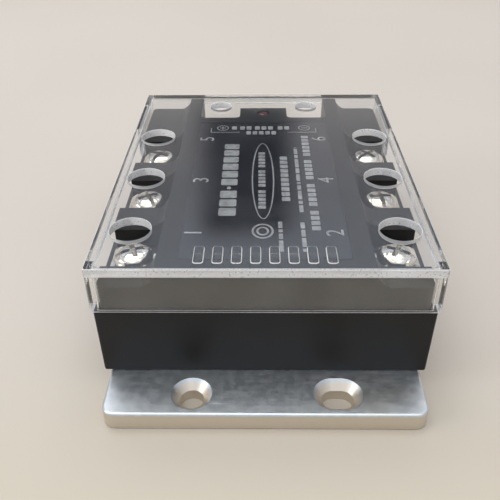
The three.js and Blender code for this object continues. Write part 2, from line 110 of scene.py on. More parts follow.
class Form:
    """A bmesh in millimetres, with the few operations that the relay's pieces are made by."""

    def __init__(self) -> None:
        """Start with nothing in it."""
        self.bm = bmesh.new()

    def slab(self, low: Point, high: Point, corner: float = 0, steps: int = 6) -> list:
        """A block, with its upright edges rounded.

        Args:
            low: lowest corner.
            high: highest corner.
            corner: radius of the upright edges, or 0 for sharp ones.
            steps: segments on each rounded edge.

        Returns:
            The faces of the block.
        """
        size = [b - a for a, b in zip(low, high)]
        middle = Vector([(a + b) / 2 for a, b in zip(low, high)])
        place = Matrix.Translation(middle) @ Matrix.Diagonal((*size, 1))
        others = set(self.bm.faces)
        verts = bmesh.ops.create_cube(self.bm, size=1, matrix=place)["verts"]
        if corner > 0:
            self.bevel([e for e in edges_at(verts) if is_upright(e)], corner, steps)
        return [f for f in self.bm.faces if f not in others]

    def rod(self, centre: Point, z0: float, z1: float, radius: float, facets: int = FINE) -> None:
        """A round bar along Z, from one height to another."""
        place = Matrix.Translation((centre[0], centre[1], (z0 + z1) / 2))
        bmesh.ops.create_cone(
            self.bm, cap_ends=True, segments=facets, radius1=radius, radius2=radius, depth=z1 - z0,
            matrix=place,
        )

    def turned(self, profile: Sequence[Point], facets: int = FINE, centre: Point = (0, 0)) -> None:
        """A piece turned about Z.

        Args:
            profile: radius and height pairs from one point of the axis to another.
            facets: steps round the axis.
            centre: x and y of the axis.
        """
        verts = [self.bm.verts.new((centre[0] + r, centre[1], z)) for r, z in profile]
        edges = [self.bm.edges.new(pair) for pair in zip(verts, verts[1:])]
        bmesh.ops.spin(
            self.bm, geom=verts + edges, cent=(centre[0], centre[1], 0), axis=(0, 0, 1),
            angle=math.tau, steps=facets, use_merge=True, use_duplicate=False,
        )
        self.weld()

    def slot_tool(self, centre: Point, travel: float, levels: Sequence[Point], facets: int = FINE) -> None:
        """A round or long hole's tool: rings of a given radius at given heights, one above the other.

        Args:
            centre: x and y of the hole.
            travel: half the distance between the centres of its two ends, 0 for a round hole.
            levels: radius and height pairs, from the bottom up.
            facets: facets round the hole.
        """
        turn = Matrix.Rotation(math.pi / facets, 4, "Z")
        loops = []
        for radius, z in levels:
            place = Matrix.Translation((centre[0], centre[1], z)) @ turn
            ring = bmesh.ops.create_circle(self.bm, segments=facets, radius=radius, matrix=place)["verts"]
            for side in (-1, 1):
                half = [v for v in ring if (v.co.x - centre[0]) * side > 0]
                bmesh.ops.translate(self.bm, verts=half, vec=(side * travel, 0, 0))
            loops.append(edges_at(ring))
        for low, high in zip(loops, loops[1:]):
            bmesh.ops.bridge_loops(self.bm, edges=low + high)
        bmesh.ops.holes_fill(self.bm, edges=loops[0] + loops[-1], sides=0)

    def oval(self, centre: Point, half: Point, line: float, z0: float, z1: float, facets: int = 80) -> None:
        """A flat oval ring.

        Args:
            centre: x and y of its middle.
            half: half its length along X and along Y.
            line: width of the ring.
            z0: height of its foot.
            z1: height of its top.
            facets: steps round it.
        """
        near, far = 1, 2
        before = set(self.bm.verts)
        self.turned([(near, z0), (far, z0), (far, z1), (near, z1), (near, z0)], facets)
        made = [v for v in self.bm.verts if v not in before]
        outer = [v for v in made if v.co.xy.length > (near + far) / 2]
        inner = [v for v in made if v.co.xy.length < (near + far) / 2]
        bmesh.ops.scale(self.bm, vec=(half[0] / far, half[1] / far, 1), verts=outer)
        bmesh.ops.scale(self.bm, vec=((half[0] - line) / near, (half[1] - line) / near, 1), verts=inner)
        bmesh.ops.translate(self.bm, vec=(centre[0], centre[1], 0), verts=made)

    def bevel(self, edges: Iterable, width: float, steps: int) -> None:
        """Round a set of edges."""
        bmesh.ops.bevel(
            self.bm, geom=list(edges), offset=width, offset_type="OFFSET", segments=steps, profile=0.5,
            affect="EDGES", clamp_overlap=True, material=-1,
        )

    def bevel_where(self, test: Callable, width: float, steps: int = 3) -> None:
        """Round every edge that a test picks."""
        self.bevel([e for e in self.bm.edges if test(e)], width, steps)

    def weld(self) -> None:
        """Merge doubled vertices and turn the faces outwards."""
        bmesh.ops.remove_doubles(self.bm, verts=self.bm.verts, dist=WELD)
        bmesh.ops.dissolve_degenerate(self.bm, dist=WELD, edges=self.bm.edges)
        bmesh.ops.recalc_face_normals(self.bm, faces=self.bm.faces)

    def piece(self, name: str, smooth: bool = True) -> bpy.types.Object:
        """Turn the form into a Blender object in metres, at the origin.

        Args:
            name: name of the object.
            smooth: whether gently curved faces are shaded as one.

        Returns:
            The new object.
        """
        bmesh.ops.recalc_face_normals(self.bm, faces=self.bm.faces)
        bmesh.ops.scale(self.bm, vec=(MM, MM, MM), verts=self.bm.verts)
        mesh = bpy.data.meshes.new(name)
        self.bm.to_mesh(mesh)
        self.bm.free()
        obj = bpy.data.objects.new(name, mesh)
        bpy.context.scene.collection.objects.link(obj)
        if smooth:
            shade(obj)
        return obj


def edges_at(verts: Iterable) -> list:
    """The edges that meet at some vertices, each once and in the same order every time."""
    return list(dict.fromkeys(e for v in verts for e in v.link_edges))


def is_upright(edge: bmesh.types.BMEdge) -> bool:
    """Whether an edge stands parallel to Z."""
    a, b = (v.co for v in edge.verts)
    return abs(a.x - b.x) < 1e-6 and abs(a.y - b.y) < 1e-6 and abs(a.z - b.z) > 1e-6


def is_level(edge: bmesh.types.BMEdge, z: float) -> bool:
    """Whether an edge lies at one height and turns a corner there."""
    flat = all(abs(v.co.z - z) < 1e-5 for v in edge.verts)
    return flat and len(edge.link_faces) == 2 and edge.calc_face_angle(0) > CORNER


def shade(obj: bpy.types.Object) -> None:
    """Shade gentle curves smooth and keep real corners sharp."""
    obj.data.shade_smooth()
    obj.data.set_sharp_from_angle(angle=SHARP)


def apply_modifiers(obj: bpy.types.Object) -> None:
    """Replace an object's mesh by what its modifiers make of it.

    Args:
        obj: the object, whose modifiers are used up.
    """
    bpy.context.view_layer.update()
    seen = obj.evaluated_get(bpy.context.evaluated_depsgraph_get())
    mesh = bpy.data.meshes.new_from_object(seen)
    obj.modifiers.clear()
    old = obj.data
    obj.data = mesh
    bpy.data.meshes.remove(old)
    mesh.name = obj.name


def combine(obj: bpy.types.Object, tool: Form, operation: str) -> None:
    """Cut a tool from an object, or join it on, and drop the tool.

    Args:
        obj: the object that stays.
        tool: the form that is taken off or joined on.
        operation: DIFFERENCE or UNION.
    """
    other = tool.piece("tool", smooth=False)
    step = obj.modifiers.new(operation, "BOOLEAN")
    step.operation = operation
    step.solver = "EXACT"
    step.use_self = True
    step.object = other
    apply_modifiers(obj)
    mesh = other.data
    bpy.data.objects.remove(other)
    bpy.data.meshes.remove(mesh)


def soften(obj: bpy.types.Object, width: float, steps: int = 2, angle: float = 40) -> None:
    """Round all of an object's remaining sharp edges a little.

    Args:
        obj: the object.
        width: how far the rounding reaches, in millimetres.
        steps: segments across it.
        angle: the least angle, in degrees, of an edge that is rounded.
    """
    form = bmesh.new()
    form.from_mesh(obj.data)
    bmesh.ops.remove_doubles(form, verts=form.verts, dist=2e-6)
    bmesh.ops.dissolve_limit(
        form, angle_limit=math.radians(0.5), verts=form.verts, edges=form.edges, delimit=set(),
    )
    form.to_mesh(obj.data)
    form.free()
    step = obj.modifiers.new("edges", "BEVEL")
    step.width = width * MM
    step.segments = steps
    step.limit_method = "ANGLE"
    step.angle_limit = math.radians(angle)
    step.use_clamp_overlap = True
    shade(obj)
    apply_modifiers(obj)


def weigh(obj: bpy.types.Object) -> None:
    """Let large flat faces keep their own direction where rounded edges meet them.

    Args:
        obj: the object.
    """
    step = obj.modifiers.new("weights", "WEIGHTED_NORMAL")
    step.mode = "FACE_AREA"
    step.weight = 50
    step.keep_sharp = True
    apply_modifiers(obj)


def settle(piece: bpy.types.Object, body: str, nodes: Sequence[str] = ()) -> bpy.types.Object:
    """Make a finished piece ride on its body and hide the CAD nodes that it stands in for.

    Args:
        piece: the finished piece.
        body: the body that it rides on.
        nodes: the CAD nodes that it replaces.

    Returns:
        The piece.
    """
    weigh(piece)
    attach(piece, body)
    if nodes:
        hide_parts(*nodes)
    LOG.info("%-26s body %-20s %6d faces", piece.name, body, len(piece.data.polygons))
    return piece


def dress(piece: bpy.types.Object, material: bpy.types.Material) -> None:
    """Give a whole piece one material."""
    piece.data.materials.clear()
    piece.data.materials.append(material)


# --------------------------------------------------------------------------- materials


class Wire:
    """A node's output that Python's operators work on, each adding a Math node."""

    def __init__(self, graph: "Graph", socket: bpy.types.NodeSocket) -> None:
        """Wrap one socket of a graph."""
        self.graph = graph
        self.socket = socket

    def _math(self, operation: str, *values: object) -> "Wire":
        """Add one Math node."""
        sockets = dict(enumerate(values))
        return self.graph.node("ShaderNodeMath", {"operation": operation}, sockets)

    def __add__(self, other: object) -> "Wire":
        """self + other."""
        return self._math("ADD", self, other)

    __radd__ = __add__

    def __mul__(self, other: object) -> "Wire":
        """self * other."""
        return self._math("MULTIPLY", self, other)

    __rmul__ = __mul__

    def __sub__(self, other: object) -> "Wire":
        """self - other."""
        return self._math("SUBTRACT", self, other)

    def __rsub__(self, other: object) -> "Wire":
        """other - self."""
        return self._math("SUBTRACT", other, self)

    def fit(self, low: float, high: float, to_low: float = 0, to_high: float = 1) -> "Wire":
        """Stretch a range of values smoothly onto another, held inside it."""
        names = {"Value": self, "From Min": low, "From Max": high, "To Min": to_low, "To Max": to_high}
        return self.graph.node("ShaderNodeMapRange", {"interpolation_type": "SMOOTHSTEP"}, names)


class Graph:
    """The node tree of a material or a world."""

    def __init__(self, name: str, kind: str = "materials") -> None:
        """Make an empty material or world.

        Args:
            name: its name.
            kind: the collection that it is made in, materials or worlds.
        """
        self.owner = getattr(bpy.data, kind).new(name)
        self.owner.use_nodes = True
        self.tree = self.owner.node_tree
        self.tree.nodes.clear()

    def node(self, kind: str, settings: dict, sockets: dict, output: Union[int, str] = 0) -> Optional[Wire]:
        """Add a node.

        Args:
            kind: the node's type.
            settings: attributes to set first; "stops" sets a colour ramp's stops.
            sockets: values or wires for its inputs, by name or number.
            output: which output to hand back.

        Returns:
            The chosen output, or nothing for a node that has none.
        """
        node = self.tree.nodes.new(kind)
        for key, value in settings.items():
            if key == "stops":
                self._set_stops(node.color_ramp, value)
            else:
                setattr(node, key, value)
        for key, value in sockets.items():
            self.feed(node.inputs[key], value)
        return Wire(self, node.outputs[output]) if len(node.outputs) else None

    @staticmethod
    def _set_stops(ramp: bpy.types.ColorRamp, stops: Sequence[tuple]) -> None:
        """Set a ramp's stops.

        Args:
            ramp: the ramp.
            stops: position and colour pairs.
        """
        while len(ramp.elements) < len(stops):
            ramp.elements.new(1)
        for element, (position, colour) in zip(ramp.elements, stops):
            element.position = position
            element.color = (*colour, 1)

    def feed(self, socket: bpy.types.NodeSocket, value: object) -> None:
        """Link a wire to an input, or set its value.

        Args:
            socket: the input.
            value: a wire, a number or a colour.
        """
        if isinstance(value, Wire):
            self.tree.links.new(value.socket, socket)
        elif isinstance(value, (tuple, list)) and len(value) == 3 and socket.type == "RGBA":
            socket.default_value = (*value, 1)
        else:
            socket.default_value = value

    def place(self, scale: Point = (1, 1, 1), turn: float = 0) -> Wire:
        """Object coordinates.

        Args:
            scale: how far they are stretched along each axis.
            turn: how far they are turned about Z, in degrees.

        Returns:
            The coordinates.
        """
        spot = self.node("ShaderNodeTexCoord", {}, {}, "Object")
        sockets = {"Vector": spot, "Scale": scale, "Rotation": (0, 0, math.radians(turn))}
        return self.node("ShaderNodeMapping", {}, sockets)

    def noise(self, size: float, detail: float = 3, stretch: Point = (1, 1, 1), turn: float = 0) -> Wire:
        """Noise whose patches are about a given size in millimetres."""
        sockets = {"Vector": self.place(stretch, turn), "Scale": 1 / (size * MM), "Detail": detail}
        return self.node("ShaderNodeTexNoise", {}, sockets, 0)

    def specks(self, spacing: float, radius: float) -> Wire:
        """Small round dots.

        Args:
            spacing: size in millimetres of the cell that each dot lies in.
            radius: radius of a dot in millimetres.

        Returns:
            1 inside a dot and 0 outside.
        """
        sockets = {"Vector": self.place(), "Scale": 1 / (spacing * MM)}
        distance = self.node("ShaderNodeTexVoronoi", {}, sockets, "Distance")
        return distance.fit(radius / spacing, radius / spacing * 0.6)

    def mix(self, factor: object, first: object, second: object) -> Wire:
        """Mix two colours."""
        sockets = {0: factor, 6: first, 7: second}
        return self.node("ShaderNodeMix", {"data_type": "RGBA"}, sockets, 2)

    def bump(self, height: Wire, depth: float, strength: float = 1) -> Wire:
        """A bumped normal from a height of 0 to 1, of a given depth in millimetres."""
        sockets = {"Height": height, "Distance": depth * MM, "Strength": strength}
        return self.node("ShaderNodeBump", {}, sockets)

    def surface(self, sockets: dict) -> bpy.types.Material:
        """Close the material with a Principled shader.

        Args:
            sockets: values or wires for the shader's inputs, by name.

        Returns:
            The material.
        """
        shader = self.node("ShaderNodeBsdfPrincipled", {}, sockets)
        self.node("ShaderNodeOutputMaterial", {}, {"Surface": shader})
        return self.owner


@dataclass(frozen=True)
class PlatedSteel:
    """Bright plated sheet steel: finely mottled, lightly scratched along the sheet; its sides carry a painted
    warm reflection of the floor.
    """

    tint: tuple = (0.66, 0.70, 0.735)
    dark: tuple = (0.59, 0.64, 0.68)
    warm: tuple = (0.66, 0.645, 0.60)
    # painted reflection: the warm floor colour painted on the plate's sides below the height face
    cut: tuple = (0.70, 0.645, 0.565)
    face: float = 4.4
    fade: float = 0.5

    def material(self, name: str) -> bpy.types.Material:
        """Build the material.

        Args:
            name: its name.

        Returns:
            The material.
        """
        g = Graph(name)
        mottle = g.noise(1.8, 4)
        cloud = g.noise(22, 2)
        grain = g.noise(0.4, 3, (0.05, 1, 1))
        marks = g.noise(0.6, 2, (0.08, 1, 1), 12).fit(0.62, 0.70) * g.noise(7, 2).fit(0.5, 0.62)
        base = g.mix(mottle.fit(0.35, 0.68), self.dark, self.tint)
        base = g.mix(cloud.fit(0.52, 0.75, 0, 0.5), base, self.warm)
        height = g.node("ShaderNodeSeparateXYZ", {}, {"Vector": g.place()}, "Z")
        # painted reflection of the floor: the sides below the top face take the warm colour
        side = height.fit(self.face * MM, (self.face - self.fade) * MM)
        base = g.mix(side, base, self.cut)
        pits = g.specks(3.1, 0.18)
        rough = 0.36 + mottle.fit(0.3, 0.7) * 0.06 + grain.fit(0.35, 0.65) * 0.05 + pits * 0.15 + marks * 0.25
        relief = grain * 0.4 + mottle * 0.4 - pits * 0.6 - marks * 0.8
        return g.surface({
            "Base Color": base, "Metallic": 1.0, "Roughness": rough, "Normal": g.bump(relief, 0.012, 0.5),
        })


@dataclass(frozen=True)
class MouldedCase:
    """Black moulded thermoplastic with a fine satin texture and a little dust."""

    colour: tuple = (0.0065, 0.007, 0.0085)
    worn: tuple = (0.011, 0.0112, 0.013)
    dust: tuple = (0.32, 0.31, 0.30)

    def material(self, name: str) -> bpy.types.Material:
        """Build the material.

        Args:
            name: its name.

        Returns:
            The material.
        """
        g = Graph(name)
        flow = g.noise(14, 3)
        grain = g.noise(0.22, 2)
        dust = g.specks(4.3, 0.14) * g.noise(9, 2).fit(0.5, 0.62)
        base = g.mix(flow.fit(0.35, 0.7), self.colour, self.worn)
        base = g.mix(dust, base, self.dust)
        rough = 0.38 + flow.fit(0.3, 0.7) * 0.08 + grain * 0.06
        return g.surface({
            "Base Color": base, "Roughness": rough, "IOR": 1.5, "Specular IOR Level": 0.31,
            "Normal": g.bump(grain, 0.012, 0.6),
        })


@dataclass(frozen=True)
class ClearCover:
    """Clear glossy moulded plastic, lightly clouded by handling marks; on its walls a thicker whitish layer
    is a painted reflection of the floor in front.
    """

    colour: tuple = (0.985, 0.99, 0.99)
    # colour of the whitish layer: handling marks, and on the walls a painted reflection of the floor in front
    veil: tuple = (0.80, 0.80, 0.79)
    roof_haze: float = 0.002
    wall_haze: float = 0.045
    roof_foot: float = 33.0
    fade: float = 0.6

    def material(self, name: str) -> bpy.types.Material:
        """Build the material.

        Args:
            name: its name.

        Returns:
            The material.
        """
        g = Graph(name)
        wave = g.noise(26, 1)
        clear = g.node("ShaderNodeBsdfPrincipled", {}, {
            "Base Color": self.colour, "Roughness": 0.0, "IOR": 1.5, "Transmission Weight": 1.0,
            "Normal": g.bump(wave, 0.02, 0.2),
        })
        # whitish rough layer: handling marks everywhere, and on the walls a painted reflection of the floor
        dull = g.node("ShaderNodeBsdfPrincipled", {}, {"Base Color": self.veil, "Roughness": 0.6, "IOR": 1.5})
        height = g.node("ShaderNodeSeparateXYZ", {}, {"Vector": g.place()}, "Z")
        low = self.roof_foot * MM
        # thicker on the walls below the roof: painted reflection of the floor in front; the noise and specks
        # are handling marks
        haze_and_reflection_mask = height.fit(low, low - self.fade * MM, self.roof_haze, self.wall_haze)
        haze_and_reflection_mask = haze_and_reflection_mask * g.noise(9, 3).fit(0.3, 0.7, 0.7, 1.3) + g.specks(5.3, 0.09) * 0.25
        blend = g.node("ShaderNodeMixShader", {}, {0: haze_and_reflection_mask, 1: clear, 2: dull})
        g.node("ShaderNodeOutputMaterial", {}, {"Surface": blend})
        return g.owner


@dataclass(frozen=True)
class DullClear:
    """The same clear plastic made whitish and rough: painted light for the glow that light carried through
    the plastic gives its edges, holes, foot and front band.
    """

    colour: tuple = (0.92, 0.93, 0.95)
    grey: tuple = (0.84, 0.85, 0.87)

    def material(self, name: str) -> bpy.types.Material:
        """Build the material.

        Args:
            name: its name.

        Returns:
            The material.
        """
        g = Graph(name)
        grain = g.noise(0.6, 3)
        return g.surface({
            "Base Color": g.mix(grain.fit(0.35, 0.7), self.colour, self.grey),
            "Roughness": grain.fit(0.3, 0.7, 0.25, 0.45), "IOR": 1.5, "Transmission Weight": 0.35,
            "Normal": g.bump(grain, 0.02, 0.5),
        })


@dataclass(frozen=True)
class LabelFilm:
    """Glossy black film."""

    colour: tuple = (0.010, 0.011, 0.015)
    sheen: tuple = (0.020, 0.022, 0.028)
    fleck: tuple = (0.4, 0.4, 0.4)

    def material(self, name: str) -> bpy.types.Material:
        """Build the material.

        Args:
            name: its name.

        Returns:
            The material.
        """
        g = Graph(name)
        flow = g.noise(18, 2)
        fleck = g.specks(2.7, 0.07) * g.noise(6, 2).fit(0.52, 0.6)
        base = g.mix(flow.fit(0.4, 0.7), self.colour, self.sheen)
        base = g.mix(fleck, base, self.fleck)
        return g.surface({
            "Base Color": base, "Roughness": flow.fit(0.3, 0.7, 0.10, 0.20), "IOR": 1.5,
            "Normal": g.bump(g.noise(5, 1), 0.01, 0.4),
        })


@dataclass(frozen=True)
class SilverPrint:
    """Pale silver ink on the film, slightly uneven."""

    colour: tuple = (0.46, 0.47, 0.48)
    thin: tuple = (0.30, 0.31, 0.32)

    def material(self, name: str) -> bpy.types.Material:
        """Build the material.

        Args:
            name: its name.

        Returns:
            The material.
        """
        g = Graph(name)
        patch = g.noise(1.6, 3)
        base = g.mix(patch.fit(0.35, 0.6), self.thin, self.colour)
        return g.surface({"Base Color": base, "Roughness": patch.fit(0.3, 0.7, 0.3, 0.5), "IOR": 1.45})


@dataclass(frozen=True)
class BrightPlating:
    """Nickel plating with a warm tint and fine handling marks."""

    bright: tuple = (0.84, 0.81, 0.75)
    dull: tuple = (0.64, 0.59, 0.50)
    rough: float = 0.05

    def material(self, name: str) -> bpy.types.Material:
        """Build the material.

        Args:
            name: its name.

        Returns:
            The material.
        """
        g = Graph(name)
        cloud = g.noise(3.2, 3)
        scratch = g.noise(0.35, 2, (1, 0.12, 1), 30)
        base = g.mix(cloud.fit(0.4, 0.7), self.bright, self.dull)
        rough = self.rough + cloud.fit(0.35, 0.7) * 0.07 + scratch.fit(0.45, 0.7) * 0.06
        return g.surface({
            "Base Color": base, "Metallic": 1.0, "Roughness": rough,
            "Normal": g.bump(scratch * 0.3 + g.noise(1.1, 2), 0.09, 0.8),
        })


@dataclass(frozen=True)
class RedLens:
    """Dark red translucent lens, unlit."""

    colour: tuple = (0.14, 0.003, 0.006)
    deep: tuple = (0.08, 0.004, 0.006)

    def material(self, name: str) -> bpy.types.Material:
        """Build the material.

        Args:
            name: its name.

        Returns:
            The material.
        """
        g = Graph(name)
        body = g.noise(0.9, 2)
        base = g.mix(body.fit(0.3, 0.7), self.colour, self.deep)
        return g.surface({
            "Base Color": base, "Roughness": body.fit(0.3, 0.7, 0.08, 0.16), "IOR": 1.5,
            "Specular IOR Level": 0.3,
        })


@dataclass(frozen=True)
class Mottled:
    """A plain inner part: two colours of one noise, with a fine texture."""

    first: tuple
    second: tuple
    patch: float = 3.0
    grain: float = 0.3
    rough: float = 0.5
    metal: float = 0.0

    def material(self, name: str) -> bpy.types.Material:
        """Build the material.

        Args:
            name: its name.

        Returns:
            The material.
        """
        g = Graph(name)
        cloud = g.noise(self.patch, 3)
        fine = g.noise(self.grain, 2)
        return g.surface({
            "Base Color": g.mix(cloud.fit(0.35, 0.68), self.first, self.second),
            "Metallic": self.metal, "Roughness": self.rough + fine * 0.15,
            "Normal": g.bump(fine + cloud * 0.5, 0.02, 0.5),
        })


@dataclass(frozen=True)
class CircuitBoard:
    """Green lacquered board with patches of paler tracks."""

    lacquer: tuple = (0.012, 0.10, 0.035)
    track: tuple = (0.03, 0.20, 0.07)

    def material(self, name: str) -> bpy.types.Material:
        """Build the material.

        Args:
            name: its name.

        Returns:
            The material.
        """
        g = Graph(name)
        along = g.node("ShaderNodeTexWave", {"bands_direction": "X"}, {
            "Vector": g.place(), "Scale": 180, "Distortion": 0.0,
        }, 1)
        region = g.noise(7, 0).fit(0.5, 0.53)
        lines = along.fit(0.55, 0.65) * region
        return g.surface({
            "Base Color": g.mix(lines, self.lacquer, self.track), "Roughness": 0.3 + lines * 0.1,
            "Normal": g.bump(lines, 0.03),
        })


class Finish(Enum):
    """The relay's finishes, each with the record's slot it belongs to."""

    STEEL = ("plated_steel", PlatedSteel())
    CASE = ("moulded_case", MouldedCase())
    COVER = ("clear_cover", ClearCover())
    # whitish painted glow of light carried through the cover's plastic
    DULL = ("clear_cover", DullClear())
    FILM = ("label_film", LabelFilm())
    PRINT = ("label_film", SilverPrint())
    LENS = ("red_lens", RedLens())
    SCREW = ("screw_plating", BrightPlating())
    STRIP = ("terminal_plating", BrightPlating((0.72, 0.70, 0.64), (0.52, 0.49, 0.43), 0.2))
    CASE_SCREW = ("case_screw_steel", BrightPlating((0.62, 0.62, 0.6), (0.42, 0.42, 0.41), 0.25))
    EPOXY = ("epoxy", Mottled((0.012, 0.012, 0.011), (0.03, 0.029, 0.027), 4, 0.4, 0.4))
    CERAMIC = ("ceramic", Mottled((0.78, 0.77, 0.73), (0.66, 0.65, 0.60), 2, 0.2, 0.45))
    SILICON = ("silicon", Mottled((0.06, 0.07, 0.10), (0.12, 0.13, 0.17), 5, 0.5, 0.18, 0.4))
    BOARD = ("circuit_board", CircuitBoard())
    PACKAGE = ("chip_package", Mottled((0.70, 0.69, 0.64), (0.58, 0.57, 0.52), 1.5, 0.2, 0.5))

    @property
    def slot(self) -> str:
        """The record's slot."""
        return self.value[0]

    @property
    def material(self) -> bpy.types.Material:
        """The finish's material, made the first time it is asked for."""
        name = f"{self.name.lower()}_finish"
        return bpy.data.materials.get(name) or self.value[1].material(name)


# ---------------------------------------------------------------------- sub-assemblies


@dataclass
class BasePlate:
    """Plated steel plate with one round and one slotted mounting hole at each end."""

    corner: float = 3.0
    rim: float = 0.7
    hole_x: float = 16.9
    hole_inset: float = 6.3
    hole_radius: float = 2.75
    slot_travel: float = 0.95
    chamfer: float = 2.05
    seat_radius: float = 4.3
    shank_radius: float = 2.3
    edge: float = 0.12

    def build(self) -> None:
        """Make the plate and put it in place."""
        box = Box.of("base_plate")
        form = Form()
        form.slab(box.low, box.high, self.corner, 10)
        form.bevel_where(lambda e: is_level(e, box.high.z), self.rim, 4)
        form.bevel_where(lambda e: is_level(e, box.low.z), self.rim / 2, 2)
        plate = form.piece("plate")
        tool = Form()
        for end in (-1, 1):
            for side in (-1, 1):
                spot = (side * self.hole_x, end * (box.high.y - self.hole_inset))
                travel = self.slot_travel if side * end < 0 else 0
                tool.slot_tool(spot, travel, self._levels(box))
        for node in CaseScrews.nodes():
            self._screw_seat(tool, Box.of(node), box)
        combine(plate, tool, "DIFFERENCE")
        soften(plate, self.edge)
        dress(plate, Finish.STEEL.material)
        settle(plate, "case", ["base_plate"])

    def _levels(self, box: Box) -> list:
        """Levels of a mounting hole's tool, straight below and flared at the top.

        Args:
            box: place of the plate.

        Returns:
            Radius and height pairs.
        """
        flare = box.high.z - self.chamfer
        return [
            (self.hole_radius, box.low.z - PAST), (self.hole_radius, flare),
            (self.hole_radius + self.chamfer + PAST, box.high.z + PAST),
        ]

    def _screw_seat(self, tool: Form, screw: Box, box: Box) -> None:
        """Add the countersink of one case screw to a tool."""
        spot = (screw.centre.x, screw.centre.y)
        tool.turned([
            (0, box.low.z - PAST), (self.seat_radius, box.low.z - PAST), (self.seat_radius, screw.low.z),
            (self.shank_radius, screw.low.z + CaseScrews.taper), (self.shank_radius, box.high.z + PAST),
            (0, box.high.z + PAST),
        ], MEDIUM, spot)


@dataclass
class CaseScrews:
    """Four countersunk screws that hold the plate to the housing from beneath."""

    head: float = 4.0
    shank: float = 2.0
    taper: float = 2.2
    lip: float = 0.1
    land: float = 0.25
    tip: float = 0.45
    drive: float = 2.1
    drive_arm: float = 0.45
    drive_deep: float = 1.4
    turn_step: float = 20

    @staticmethod
    def nodes() -> list:
        """The CAD nodes of the four screws."""
        return [f"case_screw_{end}_{side}" for end in ("front", "rear") for side in SIDES]

    def build(self) -> None:
        """Make the four screws."""
        for number, node in enumerate(self.nodes()):
            box = Box.of(node)
            spot = (box.centre.x, box.centre.y)
            low = box.low.z
            form = Form()
            form.turned([
                (0, low), (self.head - self.lip, low), (self.head, low + self.lip),
                (self.head, low + self.land), (self.shank, low + self.taper),
                (self.shank, box.high.z - self.shank), (self.shank * self.tip, box.high.z), (0, box.high.z),
            ], MEDIUM, spot)
            screw = form.piece(f"{node}_turned")
            tool = Form()
            for turn in (0, 90):
                heights = (low - PAST, low + self.drive_deep)
                cross_arm(tool, spot, heights, (self.drive, self.drive_arm), self.turn_step * number + turn)
            combine(screw, tool, "DIFFERENCE")
            soften(screw, 0.05, 1)
            dress(screw, Finish.CASE_SCREW.material)
            settle(screw, "case", [node])


def cross_arm(tool: Form, spot: Point, heights: Point, halves: Point, turn: float) -> None:
    """Add one arm of a driver recess to a tool.

    Args:
        tool: the tool that cuts the recess.
        spot: x and y of the screw's axis.
        heights: heights of the arm's floor and top.
        halves: half its length and half its width.
        turn: how far it is turned about the axis, in degrees.
    """
    reach, half = halves
    faces = tool.slab((-reach, -half, heights[0]), (reach, half, heights[1]))
    verts = list(dict.fromkeys(v for f in faces for v in f.verts))
    matrix = Matrix.Rotation(math.radians(turn), 3, "Z")
    bmesh.ops.rotate(tool.bm, verts=verts, cent=(0, 0, 0), matrix=matrix)
    bmesh.ops.translate(tool.bm, verts=verts, vec=(spot[0], spot[1], 0))


